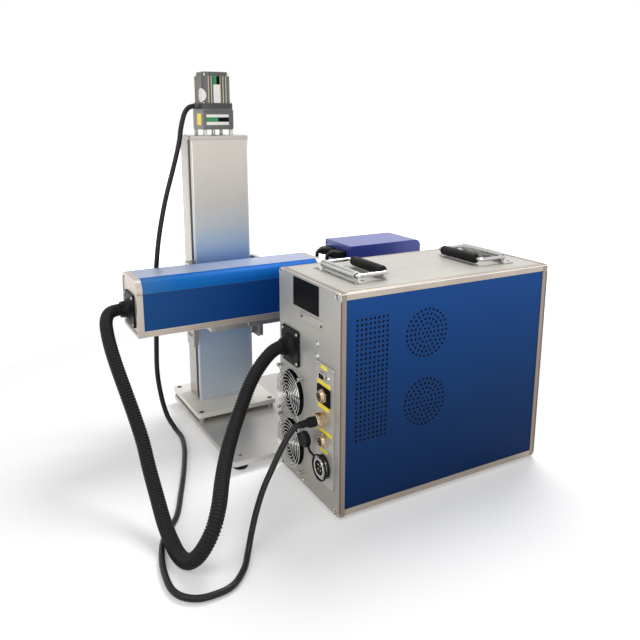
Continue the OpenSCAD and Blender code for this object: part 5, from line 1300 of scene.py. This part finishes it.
def plug_hood(y):
    """The hood of a head's plug with its two screws and its gland, and the gland on the arm."""
    parts = [slab("xy", [(x, y + out) for x, out in HOOD_OUTLINE], HOOD_LOW, HOOD_HIGH, 1.6)]
    parts.append(tile("yz", (y - 16.9, HOOD_LOW, y + 16.9, HOOD_HIGH), 2, 226, 229.6))
    parts += [turned((213.5, y + out, 371), "-z", HOOD_SCREW, 16) for out in (-13.6, 13.6)]
    parts.append(turned((201, y, 364), "-x", HOOD_GLAND, 28))
    parts.append(turned((166, y, 348), "+x", ARM_GLAND, 28))
    return parts


hood_rows = (ARM_FLANGE[1] - 22, ARM_FLANGE[1] + 22)
hoods = [part for y in hood_rows for part in plug_hood(y)]
leads = [rod_along(smooth_line([(x, y, z) for x, z in LEAD], 5), 4, 18) for y in hood_rows]
piece_of("head_plug_hoods", together(hoods), "black_plastic", ("head_connectors",), "carriage")
piece_of("head_leads", together(leads), "black_plastic", body="carriage", skin=finishes["cable_black"])
head_spots = [(HEAD[0], y, z) for y in (HEAD[1] + 7, HEAD[3] - 7) for z in (HEAD[4] + 7, HEAD[5] - 8)]
screws("head_screws", head_spots, "-x", 4.6, 0.8, "cap", "black_metal", 41, "carriage")


# Camera, lights and floor

CAMERA_PLACE = (-0.6231, -1.1511, 0.6586)
CAMERA_TURNS = ((-29.04, "Z"), (77.40, "X"), (0.10, "Z"))
CAMERA_LENS, CAMERA_SHIFT = 37.88, -0.0859
camera = bpy.data.objects.new("camera", bpy.data.cameras.new("camera"))
pose = Matrix.Translation(CAMERA_PLACE)
for degrees, axis in CAMERA_TURNS:
    pose = pose @ Matrix.Rotation(math.radians(degrees), 4, axis)
camera.matrix_world = pose
camera.data.lens = CAMERA_LENS
camera.data.sensor_width = 36
camera.data.shift_y = CAMERA_SHIFT
camera.data.clip_start = 0.02
camera.data.clip_end = 60
scene.collection.objects.link(camera)
scene.camera = camera


def soft_light(name, place, aim, size, power):
    """A round lamp, its place and its aim in metres."""
    lamp = bpy.data.objects.new(name, bpy.data.lights.new(name, "AREA"))
    lamp.data.shape = "DISK"
    lamp.data.size = size
    lamp.data.energy = power
    lamp.location = place
    lamp.rotation_euler = (Vector(aim) - Vector(place)).to_track_quat("-Z", "Y").to_euler()
    scene.collection.objects.link(lamp)


soft_light("key light", (-1.9, -0.7, 1.9), (0, 0, 0.25), 1.6, 17)
soft_light("top light", (0.9, 0.5, 2.3), (0, 0, 0.2), 1.1, 35)
soft_light("fill light", (-0.6, -2.4, 1.0), (0, 0, 0.25), 1.8, 14)


def seen_plainly(tree):
    """1 where the camera, a reflection or a clear surface looks, and 0 for the light itself."""
    path = tree.nodes.new("ShaderNodeLightPath")
    total = maths(tree, "ADD", path.outputs["Is Camera Ray"], path.outputs["Is Glossy Ray"])
    return maths(tree, "ADD", total, path.outputs["Is Transmission Ray"], clamp=True)


DIM_LIGHT, BRIGHT_BACK = 0.36, 1.0
world = bpy.data.worlds.new("pale studio")
world.use_nodes = True
scene.world = world
sky = world.node_tree.nodes["Background"]
sky.inputs["Color"].default_value = (1, 1, 1, 1)
seen = seen_plainly(world.node_tree)
strength = maths(world.node_tree, "MULTIPLY_ADD", seen, BRIGHT_BACK - DIM_LIGHT, DIM_LIGHT)
world.node_tree.links.new(strength, sky.inputs["Strength"])

FLOOR_HALF, FLOOR_TONE = 12, 0.95
GLOW_STRENGTH, GLOW_NEAR, GLOW_START = 1.7, 0.14, 0.75


def pale_floor_material():
    """A pale floor that takes the shadow near the machine and glows white further out."""
    material = bpy.data.materials.new("pale floor")
    material.use_nodes = True
    tree = material.node_tree
    ground = tree.nodes["Principled BSDF"]
    ground.inputs["Base Color"].default_value = (FLOOR_TONE, FLOOR_TONE, FLOOR_TONE, 1)
    ground.inputs["Roughness"].default_value = 0.9
    ground.inputs["Specular IOR Level"].default_value = 0.1
    glow = tree.nodes.new("ShaderNodeEmission")
    glow.inputs["Strength"].default_value = GLOW_STRENGTH
    away = tree.nodes.new("ShaderNodeVectorMath")
    away.operation = "LENGTH"
    tree.links.new(object_place(tree), away.inputs[0])
    far_share = maths(tree, "SUBTRACT", away.outputs["Value"], GLOW_START, clamp=True)
    blended = tree.nodes.new("ShaderNodeMixShader")
    tree.links.new(maths(tree, "MAXIMUM", far_share, GLOW_NEAR), blended.inputs[0])
    tree.links.new(ground.outputs[0], blended.inputs[1])
    tree.links.new(glow.outputs[0], blended.inputs[2])
    tree.links.new(blended.outputs[0], tree.nodes["Material Output"].inputs["Surface"])
    return material


floor_corners = [(-FLOOR_HALF, -FLOOR_HALF, 0), (FLOOR_HALF, -FLOOR_HALF, 0), (FLOOR_HALF, FLOOR_HALF, 0),
                 (-FLOOR_HALF, FLOOR_HALF, 0)]
floor_mesh = bpy.data.meshes.new("floor")
floor_mesh.from_pydata(floor_corners, [], [(0, 1, 2, 3)])
floor_mesh.materials.append(pale_floor_material())
floor = bpy.data.objects.new("floor", floor_mesh)
scene.collection.objects.link(floor)

scene.view_settings.view_transform = "Standard"
